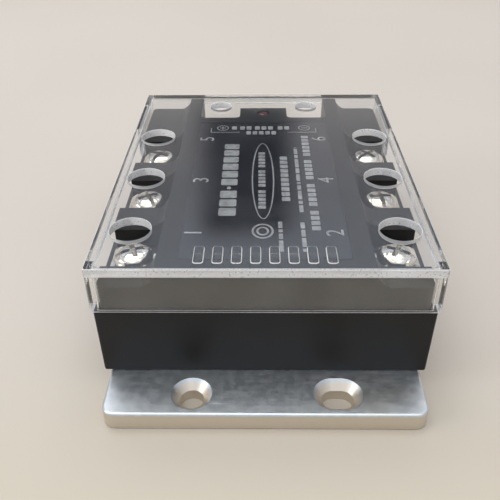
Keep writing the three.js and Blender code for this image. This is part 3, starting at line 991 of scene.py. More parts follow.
@dataclass
class Housing:
    """Black moulded case: lower box, raised centre, six load cavities and two input notches."""

    corner: float = 0.6
    draft: float = 0.995
    upper_inset: float = 1.3
    upper_inset_ends: float = 1.4
    upper_corner: float = 1.8
    deck_drop: float = 3.5
    crown_half: float = 24.3
    cove: float = 3.0
    cavity_half: float = 8.4
    cavity_corner: float = 2.6
    notch_inner: float = 7.5
    notch_outer: float = 20.0
    notch_front: float = 32.2
    lamp_back: float = 39.8
    lamp_step: float = 26.0
    lamp_hole: float = 2.05
    gap: float = 0.3
    spare: float = 2.0
    beyond: float = 10.0
    ledge_rim: float = 0.25
    foot_rim: float = 0.35
    edge: float = 0.22
    load_bore: tuple = (3.2, 0.7)
    input_bore: tuple = (2.25, 0.3)
    load_leg: tuple = (3.8, 11.0)
    input_leg: tuple = (2.8, 16.6)
    bay: tuple = ((34.5, 39.0), (25.0, 45.0))
    bay_top: float = 12.0
    board_bay: tuple = (22.0, 45.0)
    part_bay: tuple = (20.5, -43.5, 29.5)
    lamp_bay: tuple = (5.2, 28.5, 38.7)
    roof: float = 2.2
    screw_hole: float = 2.3

    def build(self) -> None:
        """Make the housing and put it in place."""
        box = Box.of("housing")
        ledge = Box.of("cover").low.z
        case = self._upper(box, ledge).piece("case")
        gaps = Form()
        for where in LOAD_TERMINALS:
            self._cavity(gaps, where, box, ledge - self.spare)
        for where in INPUT_TERMINALS:
            self._notch(gaps, where, box, ledge - self.spare)
        combine(case, gaps, "DIFFERENCE")
        combine(case, self._lower(box, ledge), "UNION")
        tool = Form()
        for where in LOAD_TERMINALS:
            self._load_seat(tool, where, ledge)
        for where in INPUT_TERMINALS:
            self._input_seat(tool, where, ledge)
        self._label_and_lamp(tool, box)
        self._bay(tool, box)
        combine(case, tool, "DIFFERENCE")
        soften(case, self.edge)
        dress(case, Finish.CASE.material)
        settle(case, "case", ["housing"])

    def _lower(self, box: Box, ledge: float) -> Form:
        """The lower box, drawn in a little towards the plate.

        Args:
            box: place of the housing.
            ledge: height of the ledge that the cover stands on.

        Returns:
            The form.
        """
        form = Form()
        form.slab(box.low, (box.high.x, box.high.y, ledge), self.corner, 6)
        foot = [v for v in form.bm.verts if v.co.z < box.low.z + NEAR]
        bmesh.ops.scale(form.bm, vec=(self.draft, 1, 1), verts=foot)
        form.bevel_where(lambda e: is_level(e, ledge), self.ledge_rim)
        form.bevel_where(lambda e: is_level(e, box.low.z), self.foot_rim)
        return form

    def _upper(self, box: Box, ledge: float) -> Form:
        """The low decks and the raised centre, with coves between them.

        Args:
            box: place of the housing.
            ledge: height of the ledge that the cover stands on.

        Returns:
            The form.
        """
        form = Form()
        half_x = box.high.x - self.upper_inset
        half_y = box.high.y - self.upper_inset_ends
        deck = box.high.z - self.deck_drop
        form.slab((-half_x, -half_y, ledge - PAST), (half_x, half_y, deck))
        for side in (-1, 1):
            bmesh.ops.bisect_plane(
                form.bm, geom=form.bm.verts[:] + form.bm.edges[:] + form.bm.faces[:],
                plane_co=(side * self.crown_half, 0, 0), plane_no=(1, 0, 0),
            )
        top = [f for f in form.bm.faces if f.normal.z > 0.9 and abs(f.calc_center_median().x) < 1]
        raised = bmesh.ops.extrude_face_region(form.bm, geom=top)["geom"]
        verts = [g for g in raised if isinstance(g, bmesh.types.BMVert)]
        bmesh.ops.translate(form.bm, verts=verts, vec=(0, 0, self.deck_drop))
        bmesh.ops.delete(form.bm, geom=top, context="FACES_ONLY")
        form.weld()
        form.bevel_where(lambda e: self._is_cove(e, deck), self.cove, 8)
        form.bevel_where(lambda e: self._is_outer(e, half_x), self.upper_corner, 6)
        return form

    def _is_cove(self, edge: bmesh.types.BMEdge, deck: float) -> bool:
        """Whether an edge is the inner corner between a deck and the raised centre."""
        spots = [v.co for v in edge.verts]
        return all(abs(p.z - deck) < NEAR and abs(abs(p.x) - self.crown_half) < NEAR for p in spots)

    @staticmethod
    def _is_outer(edge: bmesh.types.BMEdge, half_x: float) -> bool:
        """Whether an edge is an upright outer corner of the decks."""
        return is_upright(edge) and all(abs(abs(v.co.x) - half_x) < NEAR for v in edge.verts)

    def _cavity(self, tool: Form, where: str, box: Box, foot: float) -> None:
        """Add one load terminal's cavity to a tool.

        Args:
            tool: the tool.
            where: the terminal.
            box: place of the housing.
            foot: height that the cavity goes down to.
        """
        y = Box.of(f"screw_{where}").centre.y
        side = mirror_sign(where)
        x0, x1 = sorted((side * self.crown_half, side * (box.high.x + self.beyond)))
        tool.slab(
            (x0, y - self.cavity_half, foot), (x1, y + self.cavity_half, box.high.z + self.spare),
            self.cavity_corner, 8,
        )

    def _load_seat(self, tool: Form, where: str, ledge: float) -> None:
        """Add the seats of one load terminal's strip, nut and screw tip to a tool.

        Args:
            tool: the tool.
            where: the terminal.
            ledge: height of the ledge that the cover stands on.
        """
        strip, nut, screw = (Box.of(f"{kind}_{where}") for kind in ("terminal", "nut", "screw"))
        side = mirror_sign(where)
        y = screw.centre.y
        pad_inner = side * (Terminal.leg_x - self.gap)
        pad_outer = (strip.high.x if side > 0 else strip.low.x) + side * self.gap
        x0, x1 = sorted((pad_inner, pad_outer))
        seat = nut.high.z
        tool.slab((x0, strip.low.y - self.gap, seat), (x1, strip.high.y + self.gap, ledge + PAST))
        self._nut_seat(tool, nut)
        radius, below = self.load_bore
        tool.rod((screw.centre.x, y), screw.low.z - below, seat, radius, COARSE)
        leg_outer = Terminal.leg_x + Terminal.sheet + self.gap
        x0, x1 = sorted((side * (Terminal.leg_x - self.gap / 2), side * leg_outer))
        half, foot = self.load_leg
        tool.slab((x0, y - half, foot), (x1, y + half, seat + PAST / 2))

    def _nut_seat(self, tool: Form, nut: Box) -> None:
        """Add the pocket of one nut to a tool."""
        tool.slab(
            (nut.low.x - self.gap, nut.low.y - self.gap, nut.low.z - self.gap),
            (nut.high.x + self.gap, nut.high.y + self.gap, nut.high.z + PAST / 2),
        )

    def _notch(self, tool: Form, where: str, box: Box, foot: float) -> None:
        """Add one input terminal's notch to a tool.

        Args:
            tool: the tool.
            where: the terminal.
            box: place of the housing.
            foot: height that the notch goes down to.
        """
        side = mirror_sign(where)
        x0, x1 = sorted((side * self.notch_inner, side * self.notch_outer))
        tool.slab((x0, self.notch_front, foot), (x1, box.high.y + self.beyond, box.high.z + PAST), 1.5, 6)

    def _input_seat(self, tool: Form, where: str, ledge: float) -> None:
        """Add the seats of one input terminal's strip, nut and screw tip to a tool.

        Args:
            tool: the tool.
            where: the terminal.
            ledge: height of the ledge that the cover stands on.
        """
        strip, nut, screw = (Box.of(f"{kind}_{where}") for kind in ("terminal", "nut", "screw"))
        seat = nut.high.z
        tool.slab(
            (strip.low.x - self.gap, strip.low.y - self.gap, seat),
            (strip.high.x + self.gap, strip.high.y + self.gap, ledge + PAST),
        )
        self._nut_seat(tool, nut)
        radius, below = self.input_bore
        tool.rod((screw.centre.x, screw.centre.y), screw.low.z - below, seat, radius, COARSE)
        x = screw.centre.x
        half, foot = self.input_leg
        back = strip.low.y + 1 + self.gap
        tool.slab((x - half, strip.low.y - self.gap, foot), (x + half, back, seat + PAST / 2))

    def _label_and_lamp(self, tool: Form, box: Box) -> None:
        """Add the label's recess, the step behind the lamp and the lamp's hole to a tool.

        Args:
            tool: the tool.
            box: place of the housing.
        """
        film, lamp = Box.of("nameplate"), Box.of("lamp_window")
        play = self.gap / 2
        above = box.high.z + PAST
        low = (film.low.x - play, film.low.y - play, film.low.z)
        tool.slab(low, (film.high.x + play, film.high.y + play, above), 0.9, 4)
        far = (self.notch_outer, box.high.y + self.beyond, above)
        tool.slab((-self.notch_outer, self.lamp_back, self.lamp_step), far)
        tool.rod((0, lamp.centre.y), lamp.low.z, above, self.lamp_hole, MEDIUM)

    def _bay(self, tool: Form, box: Box) -> None:
        """Add the bay for the electronics, open at the bottom, and the case screws' holes to a tool.

        Args:
            tool: the tool.
            box: place of the housing.
        """
        foot = box.low.z - PAST
        roof = Box.of("lamp_window").high.z - self.roof
        rim = Box.of("driver_board").high.z
        for half_x, half_y in self.bay:
            tool.slab((-half_x, -half_y, foot), (half_x, half_y, self.bay_top))
        half_x, half_y = self.board_bay
        tool.slab((-half_x, -half_y, self.bay_top - PAST), (half_x, half_y, rim))
        for half_x, front, back in (self.part_bay, self.lamp_bay):
            tool.slab((-half_x, front, rim - PAST), (half_x, back, roof))
        for node in CaseScrews.nodes():
            screw = Box.of(node)
            top = screw.high.z + self.gap
            tool.rod((screw.centre.x, screw.centre.y), foot, top, self.screw_hole, COARSE)


@dataclass
class Cover:
    """Clear lift-off cover: thin walls, driver holes in its roof, gates for the wires."""

    wall: float = 1.5
    roof: float = 2.4
    corner: float = 0.6
    rim: float = 0.3
    relief: float = 0.25
    load_radius: float = 4.9
    input_radius: float = 3.35
    gate_front: float = -44.0
    gate_back: float = 25.0
    gate_rear: float = 20.0
    gate_top: float = 31.0
    beyond: float = 5.0
    marks: int = 8
    mark_width: float = 2.3
    mark_length: float = 6.4
    marks_half: float = 14.6
    marks_y: float = -44.4
    edge: float = 0.14
    inner_corner: float = 0.6
    inner_rim: float = 0.4
    mark_corner: float = 0.7
    mark_sunk: float = 0.3
    fillet: float = 0.5
    foot: float = 0.2
    wall_band: float = 0.16
    small_area: float = 3.0
    long_edge: float = 15.0

    def build(self) -> None:
        """Make the cover and put it in place."""
        box = Box.of("cover")
        top = box.high.z - self.relief
        form = Form()
        form.slab(box.low, (box.high.x, box.high.y, top), self.corner, 8)
        form.bevel_where(lambda e: is_level(e, top), self.rim, 4)
        cover = form.piece("clear_cover")
        combine(cover, self._hollow(box, top), "DIFFERENCE")
        combine(cover, self._openings(box), "DIFFERENCE")
        combine(cover, self._marks(box, top), "UNION")
        soften(cover, self.edge, angle=35)
        dress(cover, Finish.COVER.material)
        self._dull(cover, box, top)
        settle(cover, "cover", ["cover"])

    def _dull(self, cover: bpy.types.Object, box: Box, top: float) -> None:
        """Give the whitish finish, painted light that glows through the clear plastic, to hole walls, the
        foot, the roof's front band and the raised bars.

        Args:
            cover: the cover, whose big faces are parted at the ceiling's height.
            box: place of the cover.
            top: height of the roof's face, which the bars stand on.
        """
        cover.data.materials.append(Finish.DULL.material)
        ceiling = box.high.z - self.roof
        holes = self._holes()
        bm = bmesh.new()
        bm.from_mesh(cover.data)
        everything = bm.verts[:] + bm.edges[:] + bm.faces[:]
        bmesh.ops.bisect_plane(bm, geom=everything, plane_co=(0, 0, ceiling * MM), plane_no=(0, 0, 1))
        level = 0.97
        for face in bm.faces:
            spot = face.calc_center_median() / MM
            longest = max(e.calc_length() for e in face.edges)
            small = face.calc_area() < self.small_area * MM * MM or longest > self.long_edge * MM
            band = spot.z > ceiling and spot.y < box.low.y + 0.1 and face.normal.y < -0.5
            outside = max(abs(spot.x) - box.high.x, abs(spot.y) - box.high.y) > -self.rim
            edge = outside and spot.z > top - self.rim and face.normal.z < level
            low = ceiling - self.fillet < spot.z < ceiling
            fillet = small and low and 0.1 < abs(face.normal.z) < level
            foot = spot.z < box.low.z + self.foot
            bar = spot.z > top + 2 * NEAR and face.normal.z < 0.95
            wall = any(abs((spot.xy - a).length - r) < self.wall_band for a, r in holes)
            hole = small and spot.z > ceiling - 0.1 and wall
            # faces picked here are painted with the whitish glow of light carried through the plastic
            face.material_index = int(band or edge or fillet or foot or bar or hole)
        bm.to_mesh(cover.data)
        bm.free()

    def _holes(self) -> list:
        """Axis and radius of each driver hole."""
        wide = [(Box.of(f"screw_{where}").centre.xy, self.load_radius) for where in LOAD_TERMINALS]
        narrow = [(Box.of(f"screw_{where}").centre.xy, self.input_radius) for where in INPUT_TERMINALS]
        return wide + narrow

    def _hollow(self, box: Box, top: float) -> Form:
        """The space under the roof.

        Args:
            box: place of the cover.
            top: height of the roof's face.

        Returns:
            The form to take away.
        """
        form = Form()
        ceiling = top - self.roof + self.relief
        form.slab(
            (box.low.x + self.wall, box.low.y + self.wall, box.low.z - PAST),
            (box.high.x - self.wall, box.high.y - self.wall, ceiling), self.inner_corner, 4,
        )
        form.bevel_where(lambda e: is_level(e, ceiling), self.inner_rim)
        return form

    def _openings(self, box: Box) -> Form:
        """The driver holes and the wire gates.

        Args:
            box: place of the cover.

        Returns:
            The form to take away.
        """
        form = Form()
        for axis, radius in self._holes():
            form.rod(axis, box.high.z - self.roof - PAST, box.high.z + PAST, radius, 72)
        foot = box.low.z - PAST
        side = box.high.x + self.beyond
        form.slab((-side, self.gate_front, foot), (side, self.gate_back, self.gate_top))
        form.slab((-self.gate_rear, 0, foot), (self.gate_rear, box.high.y + self.beyond, self.gate_top))
        return form

    def _marks(self, box: Box, top: float) -> Form:
        """A row of plain raised bars near the front edge.

        Args:
            box: place of the cover.
            top: height of the roof's face.

        Returns:
            The form to join on.
        """
        form = Form()
        pitch = 2 * self.marks_half / (self.marks - 1)
        half_x = self.mark_width / 2
        half_y = self.mark_length / 2
        for number in range(self.marks):
            x = number * pitch - self.marks_half
            low = (x - half_x, self.marks_y - half_y, top - self.mark_sunk)
            form.slab(low, (x + half_x, self.marks_y + half_y, box.high.z), self.mark_corner, 4)
        return form


@dataclass
class Nameplate:
    """Glossy film on the raised centre, with plain marks and the terminals' numerals in silver."""

    corner: float = 0.8
    rim: float = 0.08
    ink: float = 0.03
    sunk: float = 0.02
    numeral: float = 4.2
    numeral_x: float = 16.6
    cap_height: float = 0.7
    type_x: float = -9.2
    type_start: float = -26.5
    type_lengths: tuple = (3.6, 3.4, 3.6, 1.4, 3.4, 3.6, 3.6, 3.4, 3.4, 3.2)
    type_half: float = 2.15
    type_dot: int = 3
    type_dot_half: float = 0.5
    type_gap: float = 0.75
    oval_centre: tuple = (-0.3, -7.3)
    oval_half: tuple = (3.0, 20.7)
    oval_groups: tuple = (-23.2, -12.3, -1.5)
    oval_group: float = 9.2
    line: float = 0.36
    short_column: tuple = (5.5, -19.6, 5.0)
    long_x: float = 12.2
    long_runs: tuple = ((-32.9, -23.9), (-21.9, -10.5), (-8.3, 3.1), (5.3, 19.1))
    column_half: float = 1.05
    dash_columns: tuple = ((9.1, -24.8, 10.5), (3.7, -41.5, -29.2), (9.0, -41.5, -29.5))
    dash_half: float = 0.5
    dash_gap: float = 0.6
    dashes: tuple = (3.2, 1.6, 4.4, 2.2, 1.2, 3.6, 2.8, 5.0, 1.8)
    sign: tuple = (12.5, 24.2)
    sign_radius: float = 1.8
    sign_line: float = 0.26
    bracket: tuple = (7.3, 16.0)
    bracket_foot: float = 21.0
    upper_words: tuple = (-9.7, -7.2, -5.2, -2.6, -0.6, 1.4, 4.4, 6.4)
    lower_words: tuple = (-5.2, -3.3, -1.4, 0.5, 2.4)
    word_high: float = 2.4
    emblem: tuple = (-0.5, -33.2)
    emblem_radii: tuple = (2.6, 1.5)
    emblem_line: float = 0.5

    def build(self) -> None:
        """Make the film and its print."""
        box = Box.of("nameplate")
        form = Form()
        form.slab(box.low, box.high, self.corner, 5)
        form.bevel_where(lambda e: is_level(e, box.high.z), self.rim, 2)
        film = form.piece("label_film")
        dress(film, Finish.FILM.material)
        settle(film, "case", ["nameplate"])
        level = box.high.z
        self._print("print_type_bars", self._type_bars(level))
        self._print("print_oval", self._oval(level))
        self._print("print_lines", self._text_lines(level))
        self._print("print_input_marks", self._input_marks(level))
        self._print("print_emblem", self._emblem(level))
        self._numerals(level)

    def _print(self, name: str, form: Form) -> None:
        """Finish one patch of print.

        Args:
            name: its name.
            form: its shape.
        """
        patch = form.piece(name)
        dress(patch, Finish.PRINT.material)
        settle(patch, "case")

    def _bar(self, form: Form, across: Point, along: Point, z: float, corner: float = 0) -> None:
        """One printed bar between two x and two y, sunk a hair into the film at height z."""
        (x0, x1), (y0, y1) = across, along
        round_by = min(corner, (x1 - x0) / 2.1, (y1 - y0) / 2.1)
        form.slab((x0, y0, z - self.sunk), (x1, y1, z + self.ink), round_by, 3)

    def _ring(self, form: Form, centre: Point, half: Point, line: float, z: float, facets: int) -> None:
        """One printed ring, sunk as the bars are."""
        form.oval(centre, half, line, z - self.sunk, z + self.ink, facets)

    def _type_bars(self, z: float) -> Form:
        """A row of plain blocks along the film, with one dot among them.

        Args:
            z: height of the film.

        Returns:
            The form.
        """
        form = Form()
        x = self.type_x
        y = self.type_start
        for number, wide in enumerate(self.type_lengths):
            half = self.type_dot_half if number == self.type_dot else self.type_half
            self._bar(form, (x - half, x + half), (y, y + wide), z, 0.5)
            y += wide + self.type_gap
        return form

    def _run(self, form: Form, x: float, half: float, ends: Point, block: Point, z: float) -> None:
        """A column of equal blocks along Y.

        Args:
            form: where the blocks go.
            x: middle of the column.
            half: half its width.
            ends: lowest and highest y.
            block: length of a block and of the gap after it.
            z: height of the film.
        """
        count = round((ends[1] - ends[0] + block[1]) / sum(block))
        for number in range(count):
            y = ends[0] + number * sum(block)
            self._bar(form, (x - half, x + half), (y, y + block[0]), z, 0.25)

    def _oval(self, z: float) -> Form:
        """A long oval outline with three groups of small blocks in it.

        Args:
            z: height of the film.

        Returns:
            The form.
        """
        form = Form()
        self._ring(form, self.oval_centre, self.oval_half, self.line, z, 80)
        for start in self.oval_groups:
            self._run(form, -0.6, 0.95, (start, start + self.oval_group), (1.45, 0.45), z)
        return form

    def _text_lines(self, z: float) -> Form:
        """Columns of blocks and dashes that stand for small print.

        Args:
            z: height of the film.

        Returns:
            The form.
        """
        form = Form()
        x, *ends = self.short_column
        self._run(form, x, self.column_half, ends, (2.0, 0.5), z)
        for ends in self.long_runs:
            self._run(form, self.long_x, self.column_half, ends, (1.75, 0.55), z)
        half = self.dash_half
        for column, (x, low, high) in enumerate(self.dash_columns):
            y = low
            number = column * 2
            while y < high:
                long = min(self.dashes[number % len(self.dashes)], high - y)
                self._bar(form, (x - half, x + half), (y, y + long), z, 0.15)
                y += long + self.dash_gap
                number += 1
        return form

    def _input_marks(self, z: float) -> Form:
        """Plus and minus in circles with a bracket line under each, and two rows of blocks between.

        Args:
            z: height of the film.

        Returns:
            The form.
        """
        form = Form()
        foot = self.bracket_foot
        for side in (-1, 1):
            x = side * self.sign[0]
            y = self.sign[1]
            self._ring(form, (x, y), (self.sign_radius, self.sign_radius), self.sign_line, z, 32)
            self._bar(form, (x - 0.95, x + 0.95), (y - 0.15, y + 0.15), z)
            if side < 0:
                self._bar(form, (x - 0.15, x + 0.15), (y - 1, y + 1), z)
            near, far = (side * end for end in self.bracket)
            self._bar(form, sorted((near, far)), (foot, foot + 0.25), z)
            self._bar(form, (far - 0.12, far + 0.12), (foot, foot + 3), z)
        for words, wide, y in ((self.upper_words, 1.5, 23.0), (self.lower_words, 1.4, 19.5)):
            for x in words:
                self._bar(form, (x, x + wide), (y, y + self.word_high), z, 0.3)
        return form

    def _emblem(self, z: float) -> Form:
        """Two plain rings, one inside the other.

        Args:
            z: height of the film.

        Returns:
            The form.
        """
        form = Form()
        for radius in self.emblem_radii:
            self._ring(form, self.emblem, (radius, radius * 1.2), self.emblem_line, z, MEDIUM)
        return form

    def _numerals(self, z: float) -> None:
        """Numerals 1 to 6 beside the load terminals.

        Args:
            z: height of the film.
        """
        for where, digit in zip(LOAD_TERMINALS, (1, 3, 5, 2, 4, 6)):
            screw = Box.of(f"screw_{where}")
            side = mirror_sign(where)
            curve = bpy.data.curves.new("numeral", "FONT")
            curve.body = str(digit)
            curve.size = self.numeral * MM / self.cap_height
            curve.extrude = self.ink / 2 * MM
            curve.align_x = "CENTER"
            curve.align_y = "CENTER"
            text = bpy.data.objects.new("numeral", curve)
            bpy.context.scene.collection.objects.link(text)
            bpy.context.view_layer.update()
            seen = text.evaluated_get(bpy.context.evaluated_depsgraph_get())
            mesh = bpy.data.meshes.new_from_object(seen)
            bpy.data.objects.remove(text)
            bpy.data.curves.remove(curve)
            turn = Matrix.Rotation(math.radians(90), 4, "Z")
            spot = Vector((side * self.numeral_x, screw.centre.y, z + self.ink / 2 - self.sunk / 4)) * MM
            mesh.transform(Matrix.Translation(spot) @ turn)
            piece = bpy.data.objects.new(f"print_numeral_{digit}", mesh)
            bpy.context.scene.collection.objects.link(piece)
            close_mesh(piece)
            dress(piece, Finish.PRINT.material)
            settle(piece, "case")


def close_mesh(piece: bpy.types.Object) -> None:
    """Weld a converted text's front, back and sides into one closed mesh.

    Args:
        piece: the text's object, already a mesh.
    """
    bm = bmesh.new()
    bm.from_mesh(piece.data)
    bmesh.ops.remove_doubles(bm, verts=bm.verts, dist=1e-7)
    bmesh.ops.recalc_face_normals(bm, faces=bm.faces)
    bm.to_mesh(piece.data)
    bm.free()


@dataclass
class Lamp:
    """Indicator lamp and the red window over it."""

    window_radius: float = 1.9
    flange: float = 0.7
    dome: float = 0.75
    steps: int = 8

    def build(self) -> None:
        """Make the window, and dress the lamp that CAD made."""
        box = Box.of("lamp_window")
        wide = box.size.x / 2
        shoulder = box.low.z + self.flange
        dome = box.high.z - self.dome
        profile = [(0, box.low.z), (wide, box.low.z), (wide, shoulder), (self.window_radius, shoulder)]
        rise = box.high.z - dome
        for i in range(self.steps + 1):
            angle = math.pi / 2 * i / self.steps
            profile.append((self.window_radius * math.cos(angle), dome + rise * math.sin(angle)))
        profile[-1] = (0, box.high.z)
        form = Form()
        form.turned(profile, MEDIUM, (box.centre.x, box.centre.y))
        window = form.piece("red_window")
        dress(window, Finish.LENS.material)
        settle(window, "case", ["lamp_window"])
        dress(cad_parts["indicator_lamp"], Finish.LENS.material)


@dataclass(frozen=True)
class Thread:
    """Sizes of one kind of terminal's screw and clamp."""

    shank: float
    head: float
    head_high: float
    drive: float
    arm: float
    pitch: float


M5 = Thread(2.5, 4.6, 3.1, 2.8, 0.62, 0.8)
M3_5 = Thread(1.75, 3.1, 2.2, 1.8, 0.45, 0.6)


@dataclass
class Terminal:
    """One screw terminal: bent strip, captive nut, square clamp washer and screw."""

    where: str
    thread: Thread
    turn: float

    leg_x: ClassVar[float] = 25.2
    sheet: ClassVar[float] = 1.2
    leg_half: ClassVar[float] = 3.5
    input_leg_half: ClassVar[float] = 2.5
    groove: ClassVar[float] = 0.36

    def build(self) -> None:
        """Make the pieces of the terminal."""
        self._strip()
        self._clamp()
        self._screw()
        dress(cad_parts[f"nut_{self.where}"], Finish.STRIP.material)

    @property
    def _axis(self) -> Vector:
        """The middle of the screw, whose x and y are the terminal's axis."""
        return Box.of(f"screw_{self.where}").centre

    def _strip(self) -> None:
        """The strip under the screw, with its leg and foot."""
        box = Box.of(f"terminal_{self.where}")
        nut = Box.of(f"nut_{self.where}")
        pad, *rest = self._load_strip(box, nut) if self.thread is M5 else self._input_strip(box, nut)
        strip = pad.piece(f"strip_{self.where}")
        for form in rest:
            combine(strip, form, "UNION")
        hole = Form()
        hole.rod(self._axis, nut.high.z - 2 * PAST, box.high.z + PAST, self.thread.shank + 0.4, MEDIUM)
        combine(strip, hole, "DIFFERENCE")
        soften(strip, 0.15)
        dress(strip, Finish.STRIP.material)
        settle(strip, "case", [f"terminal_{self.where}"])

    def _load_strip(self, box: Box, nut: Box) -> list:
        """Pad, leg and foot of a load terminal.

        Args:
            box: place of the strip.
            nut: place of the nut under it.

        Returns:
            A form for each.
        """
        side = mirror_sign(self.where)
        outer = box.high.x if side > 0 else box.low.x
        end = box.low.x if side > 0 else box.high.x
        inner = side * self.leg_x
        form = Form()
        x0, x1 = sorted((inner, outer))
        form.slab((x0, box.low.y, nut.high.z), (x1, box.high.y, box.high.z), 0.6, 4)
        leg = Form()
        front = self._axis.y - self.leg_half
        back = self._axis.y + self.leg_half
        x0, x1 = sorted((inner, inner + side * self.sheet))
        leg.slab((x0, front, box.low.z), (x1, back, box.high.z - 0.5))
        foot = Form()
        x0, x1 = sorted((end, inner + side * self.sheet))
        foot.slab((x0, front, box.low.z), (x1, back, box.low.z + self.sheet))
        return [form, leg, foot]

    def _input_strip(self, box: Box, nut: Box) -> list:
        """Pad and leg of an input terminal.

        Args:
            box: place of the strip.
            nut: place of the nut under it.

        Returns:
            A form for each.
        """
        form = Form()
        form.slab((box.low.x, box.low.y, nut.high.z), box.high, 0.5, 4)
        leg = Form()
        x = self._axis.x
        half = self.input_leg_half
        leg.slab((x - half, box.low.y, box.low.z), (x + half, box.low.y + 1, box.high.z - 0.4))
        return [form, leg]

    def _clamp(self) -> None:
        """The square washer, its corners rounded and its top edges rolled."""
        node = f"clamp_{self.where}"
        box = Box.of(node)
        form = Form()
        form.slab(box.low, box.high, 1.1, 5)
        form.bevel_where(lambda e: is_level(e, box.high.z), 0.4)
        clamp = form.piece(f"clamp_washer_{self.where}")
        hole = Form()
        hole.rod(self._axis, box.low.z - PAST, box.high.z + PAST, self.thread.shank + 0.25, MEDIUM)
        half = 0.3
        for side in (-1, 1):
            x = box.centre.x + side * box.size.x * self.groove
            low = (x - half, box.low.y - PAST, box.high.z - half)
            hole.slab(low, (x + half, box.high.y + PAST, box.high.z + PAST))
        combine(clamp, hole, "DIFFERENCE")
        soften(clamp, 0.12)
        dress(clamp, Finish.SCREW.material)
        settle(clamp, f"{self.where}_clamp", [node])

    def _screw(self) -> None:
        """Pan-head screw with a combined cross and slot."""
        node = f"screw_{self.where}"
        box = Box.of(node)
        t = self.thread
        seat = box.high.z - t.head_high
        form = Form()
        form.turned(self._screw_profile(box, seat), FINE, self._axis)
        screw = form.piece(f"pan_head_{self.where}")
        tool = Form()
        above = box.high.z + PAST
        deep = seat + t.head_high * 0.12
        shallow = seat + t.head_high * 0.62
        for turn in (0, 90):
            cross_arm(tool, self._axis, (deep, above), (t.drive, t.arm), self.turn + turn)
        cross_arm(tool, self._axis, (shallow, above), (t.head + PAST, t.arm * 0.8), self.turn)
        combine(screw, tool, "DIFFERENCE")
        soften(screw, 0.1, 2, 30)
        dress(screw, Finish.SCREW.material)
        settle(screw, f"{self.where}_screw", [node])

    def _screw_profile(self, box: Box, seat: float) -> list:
        """Half outline of the screw, from its tip up to the top of its head.

        Args:
            box: place of the screw.
            seat: height of the underside of its head.

        Returns:
            Radius and height pairs.
        """
        t = self.thread
        crest = t.shank
        root = t.shank * 0.86
        outline = [(0, box.low.z), (t.shank * 0.66, box.low.z)]
        z = box.low.z + 0.5
        while z < seat - 1.6 * t.pitch:
            outline += [(root, z), (crest, z + t.pitch / 2)]
            z += t.pitch
        outline += [(root, z), (root, seat), (t.head * 0.95, seat), (t.head, seat + 0.18)]
        flank = t.head_high * 0.42
        outline.append((t.head, seat + flank * 0.8))
        rise = t.head_high - flank
        steps = 9
        for i in range(steps + 1):
            angle = math.pi / 2 * i / steps
            outline.append((t.head * math.cos(angle) ** 0.62, seat + flank + rise * math.sin(angle)))
        outline[-1] = (0, box.high.z)
        return outline


@dataclass
class Electronics:
    """The inner parts, whose shapes CAD made."""

    def build(self) -> None:
        """Give each inner part its finish."""
        finishes = {
            "driver_board": Finish.BOARD, "potting_compound": Finish.EPOXY, "optocoupler_": Finish.PACKAGE,
            "ceramic_substrate_": Finish.CERAMIC, "thyristor_": Finish.SILICON,
        }
        for name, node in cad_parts.items():
            for start, finish in finishes.items():
                if name.startswith(start):
                    dress(node, finish.material)
                    LOG.info("%-26s dressed as %s", name, finish.slot)


# ------------------------------------------------------------------------------ studio


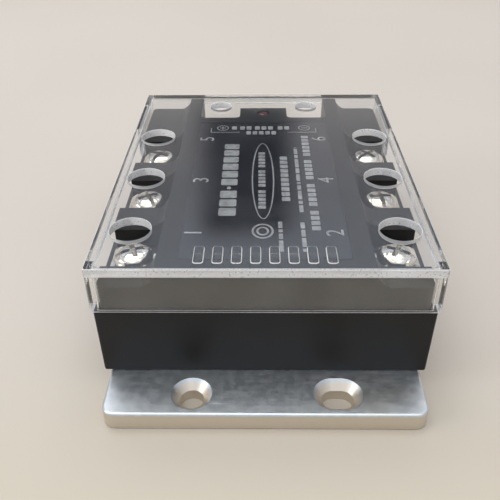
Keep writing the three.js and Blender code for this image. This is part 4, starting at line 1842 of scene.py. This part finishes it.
@dataclass
class Studio:
    """Plain pale floor, soft lights and the camera."""

    focal: float = 45.29
    sensor: float = 36.0
    camera_place: tuple = (-1.37, -156.26, 115.42)
    pitch: float = 35.145
    yaw: float = -0.996
    roll: float = -0.532
    floor_colour: tuple = (0.525, 0.483, 0.435)
    # painted shade: the floor in front of the relay is darker and warmer
    floor_near: tuple = (0.50, 0.455, 0.375)
    room: tuple = (
        (0.30, (0.70, 0.66, 0.62)), (0.41, (0.50, 0.49, 0.51)), (0.50, (0.50, 0.51, 0.56)),
        (0.60, (0.72, 0.78, 0.90)), (0.85, (0.97, 0.95, 0.92)),
    )
    shade: tuple = (0.05, 0.055, 0.07)
    gap_left: tuple = (-0.12, -0.06)
    gap_right: tuple = (0.09, 0.02)
    gap_low: tuple = (0.34, 0.40)
    gap_high: tuple = (0.58, 0.53)
    floor_half: float = 3000.0
    floor_change: tuple = (-20.0, -90.0)
    panels: tuple = (
        ("far_panel", (-120, 480, 1000), (0, 0, 0), (900, 620), 3.8),
        ("near_panel", (-150, -250, 1100), (0, 0, 0), (1300, 1000), 4.2),
        ("left_panel", (-750, -250, 420), (0, 0, 20), (400, 300), 1.6),
    )

    def build(self) -> None:
        """Make the floor, the lights and the camera."""
        self._floor()
        self._world()
        for panel in self.panels:
            self._light(*panel)
        self._camera()
        bpy.context.scene.view_settings.view_transform = "Standard"

    def _floor(self) -> None:
        """A wide plain floor under the base plate, darkened towards the front by painted shade."""
        form = Form()
        bmesh.ops.create_grid(form.bm, x_segments=1, y_segments=1, size=self.floor_half)
        floor = form.piece("floor")
        g = Graph("pale_floor")
        cloud = g.noise(160, 2)
        darker = tuple(c * 0.97 for c in self.floor_colour)
        colour = g.mix(cloud.fit(0.35, 0.65), self.floor_colour, darker)
        # painted shade: the floor darkens towards the front, away from the lights behind
        ahead = g.node("ShaderNodeSeparateXYZ", {}, {"Vector": g.place()}, "Y")
        front_shade = ahead.fit(*(y * MM for y in self.floor_change))
        colour = g.mix(front_shade, colour, self.floor_near)
        dress(floor, g.surface({"Base Color": colour, "Roughness": 0.6}))

    def _world(self) -> None:
        """A soft room: grey walls, a paler ceiling, and a small dark gap beyond the relay's far end."""
        g = Graph("soft_room", "worlds")
        ray = g.node("ShaderNodeTexCoord", {}, {}, "Generated")
        height = g.node("ShaderNodeSeparateXYZ", {}, {"Vector": ray}, "Z")
        sky = g.node("ShaderNodeValToRGB", {"stops": self.room}, {"Fac": height})
        across = g.node("ShaderNodeSeparateXYZ", {}, {"Vector": ray}, "X")
        ahead = g.node("ShaderNodeSeparateXYZ", {}, {"Vector": ray}, "Y")
        gap = across.fit(*self.gap_left) * across.fit(*self.gap_right) * ahead.fit(0, 0.1)
        gap = gap * height.fit(*self.gap_low) * height.fit(*self.gap_high)
        glow = g.node("ShaderNodeBackground", {}, {"Color": g.mix(gap, sky, self.shade), "Strength": 1.0})
        g.node("ShaderNodeOutputWorld", {}, {"Surface": glow})
        bpy.context.scene.world = g.owner

    @staticmethod
    def _light(name: str, place: Point, target: Point, size: Point, power: float) -> None:
        """A soft rectangular light that faces a point.

        Args:
            name: its name.
            place: its middle, in millimetres.
            target: the point that it faces, in millimetres.
            size: its width and height, in millimetres.
            power: its power in watts.
        """
        light = bpy.data.lights.new(name, "AREA")
        light.shape = "RECTANGLE"
        light.size = size[0] * MM
        light.size_y = size[1] * MM
        light.energy = power
        lamp = bpy.data.objects.new(name, light)
        away = Vector(place) - Vector(target)
        turn = away.to_track_quat("Z", "Y").to_matrix().to_4x4()
        lamp.matrix_world = Matrix.Translation(Vector(place) * MM) @ turn
        bpy.context.scene.collection.objects.link(lamp)

    def _camera(self) -> None:
        """The camera, looking down at the front end from a little above."""
        data = bpy.data.cameras.new("camera")
        data.sensor_width = self.sensor
        data.lens = self.focal
        data.clip_start = 0.01
        camera = bpy.data.objects.new("camera", data)
        pitch, yaw, roll = (math.radians(a) for a in (self.pitch, self.yaw, self.roll))
        ahead = Vector((math.sin(yaw) * math.cos(pitch), math.cos(yaw) * math.cos(pitch), -math.sin(pitch)))
        right = Vector((math.cos(yaw), -math.sin(yaw), 0))
        up = right.cross(ahead)
        level = right * math.cos(roll) + up * math.sin(roll)
        above = up * math.cos(roll) - right * math.sin(roll)
        turn = Matrix((level, above, -ahead)).transposed().to_4x4()
        camera.matrix_world = Matrix.Translation(Vector(self.camera_place) * MM) @ turn
        bpy.context.scene.collection.objects.link(camera)
        bpy.context.scene.camera = camera


# how far each screw's slot is turned, in degrees
SCREW_TURNS = {
    "left_front": 22, "left_middle": 118, "left_rear": 64, "right_front": -28, "right_middle": 96,
    "right_rear": 41, "input_left": 35, "input_right": -20,
}


def main() -> None:
    """Build every sub-assembly and the studio."""
    logging.basicConfig(level=logging.INFO, format="%(message)s")
    BasePlate().build()
    CaseScrews().build()
    Housing().build()
    Cover().build()
    Nameplate().build()
    Lamp().build()
    for where in LOAD_TERMINALS + INPUT_TERMINALS:
        Terminal(where, M3_5 if where in INPUT_TERMINALS else M5, SCREW_TURNS[where]).build()
    Electronics().build()
    Studio().build()


if __name__ == "__main__":
    main()
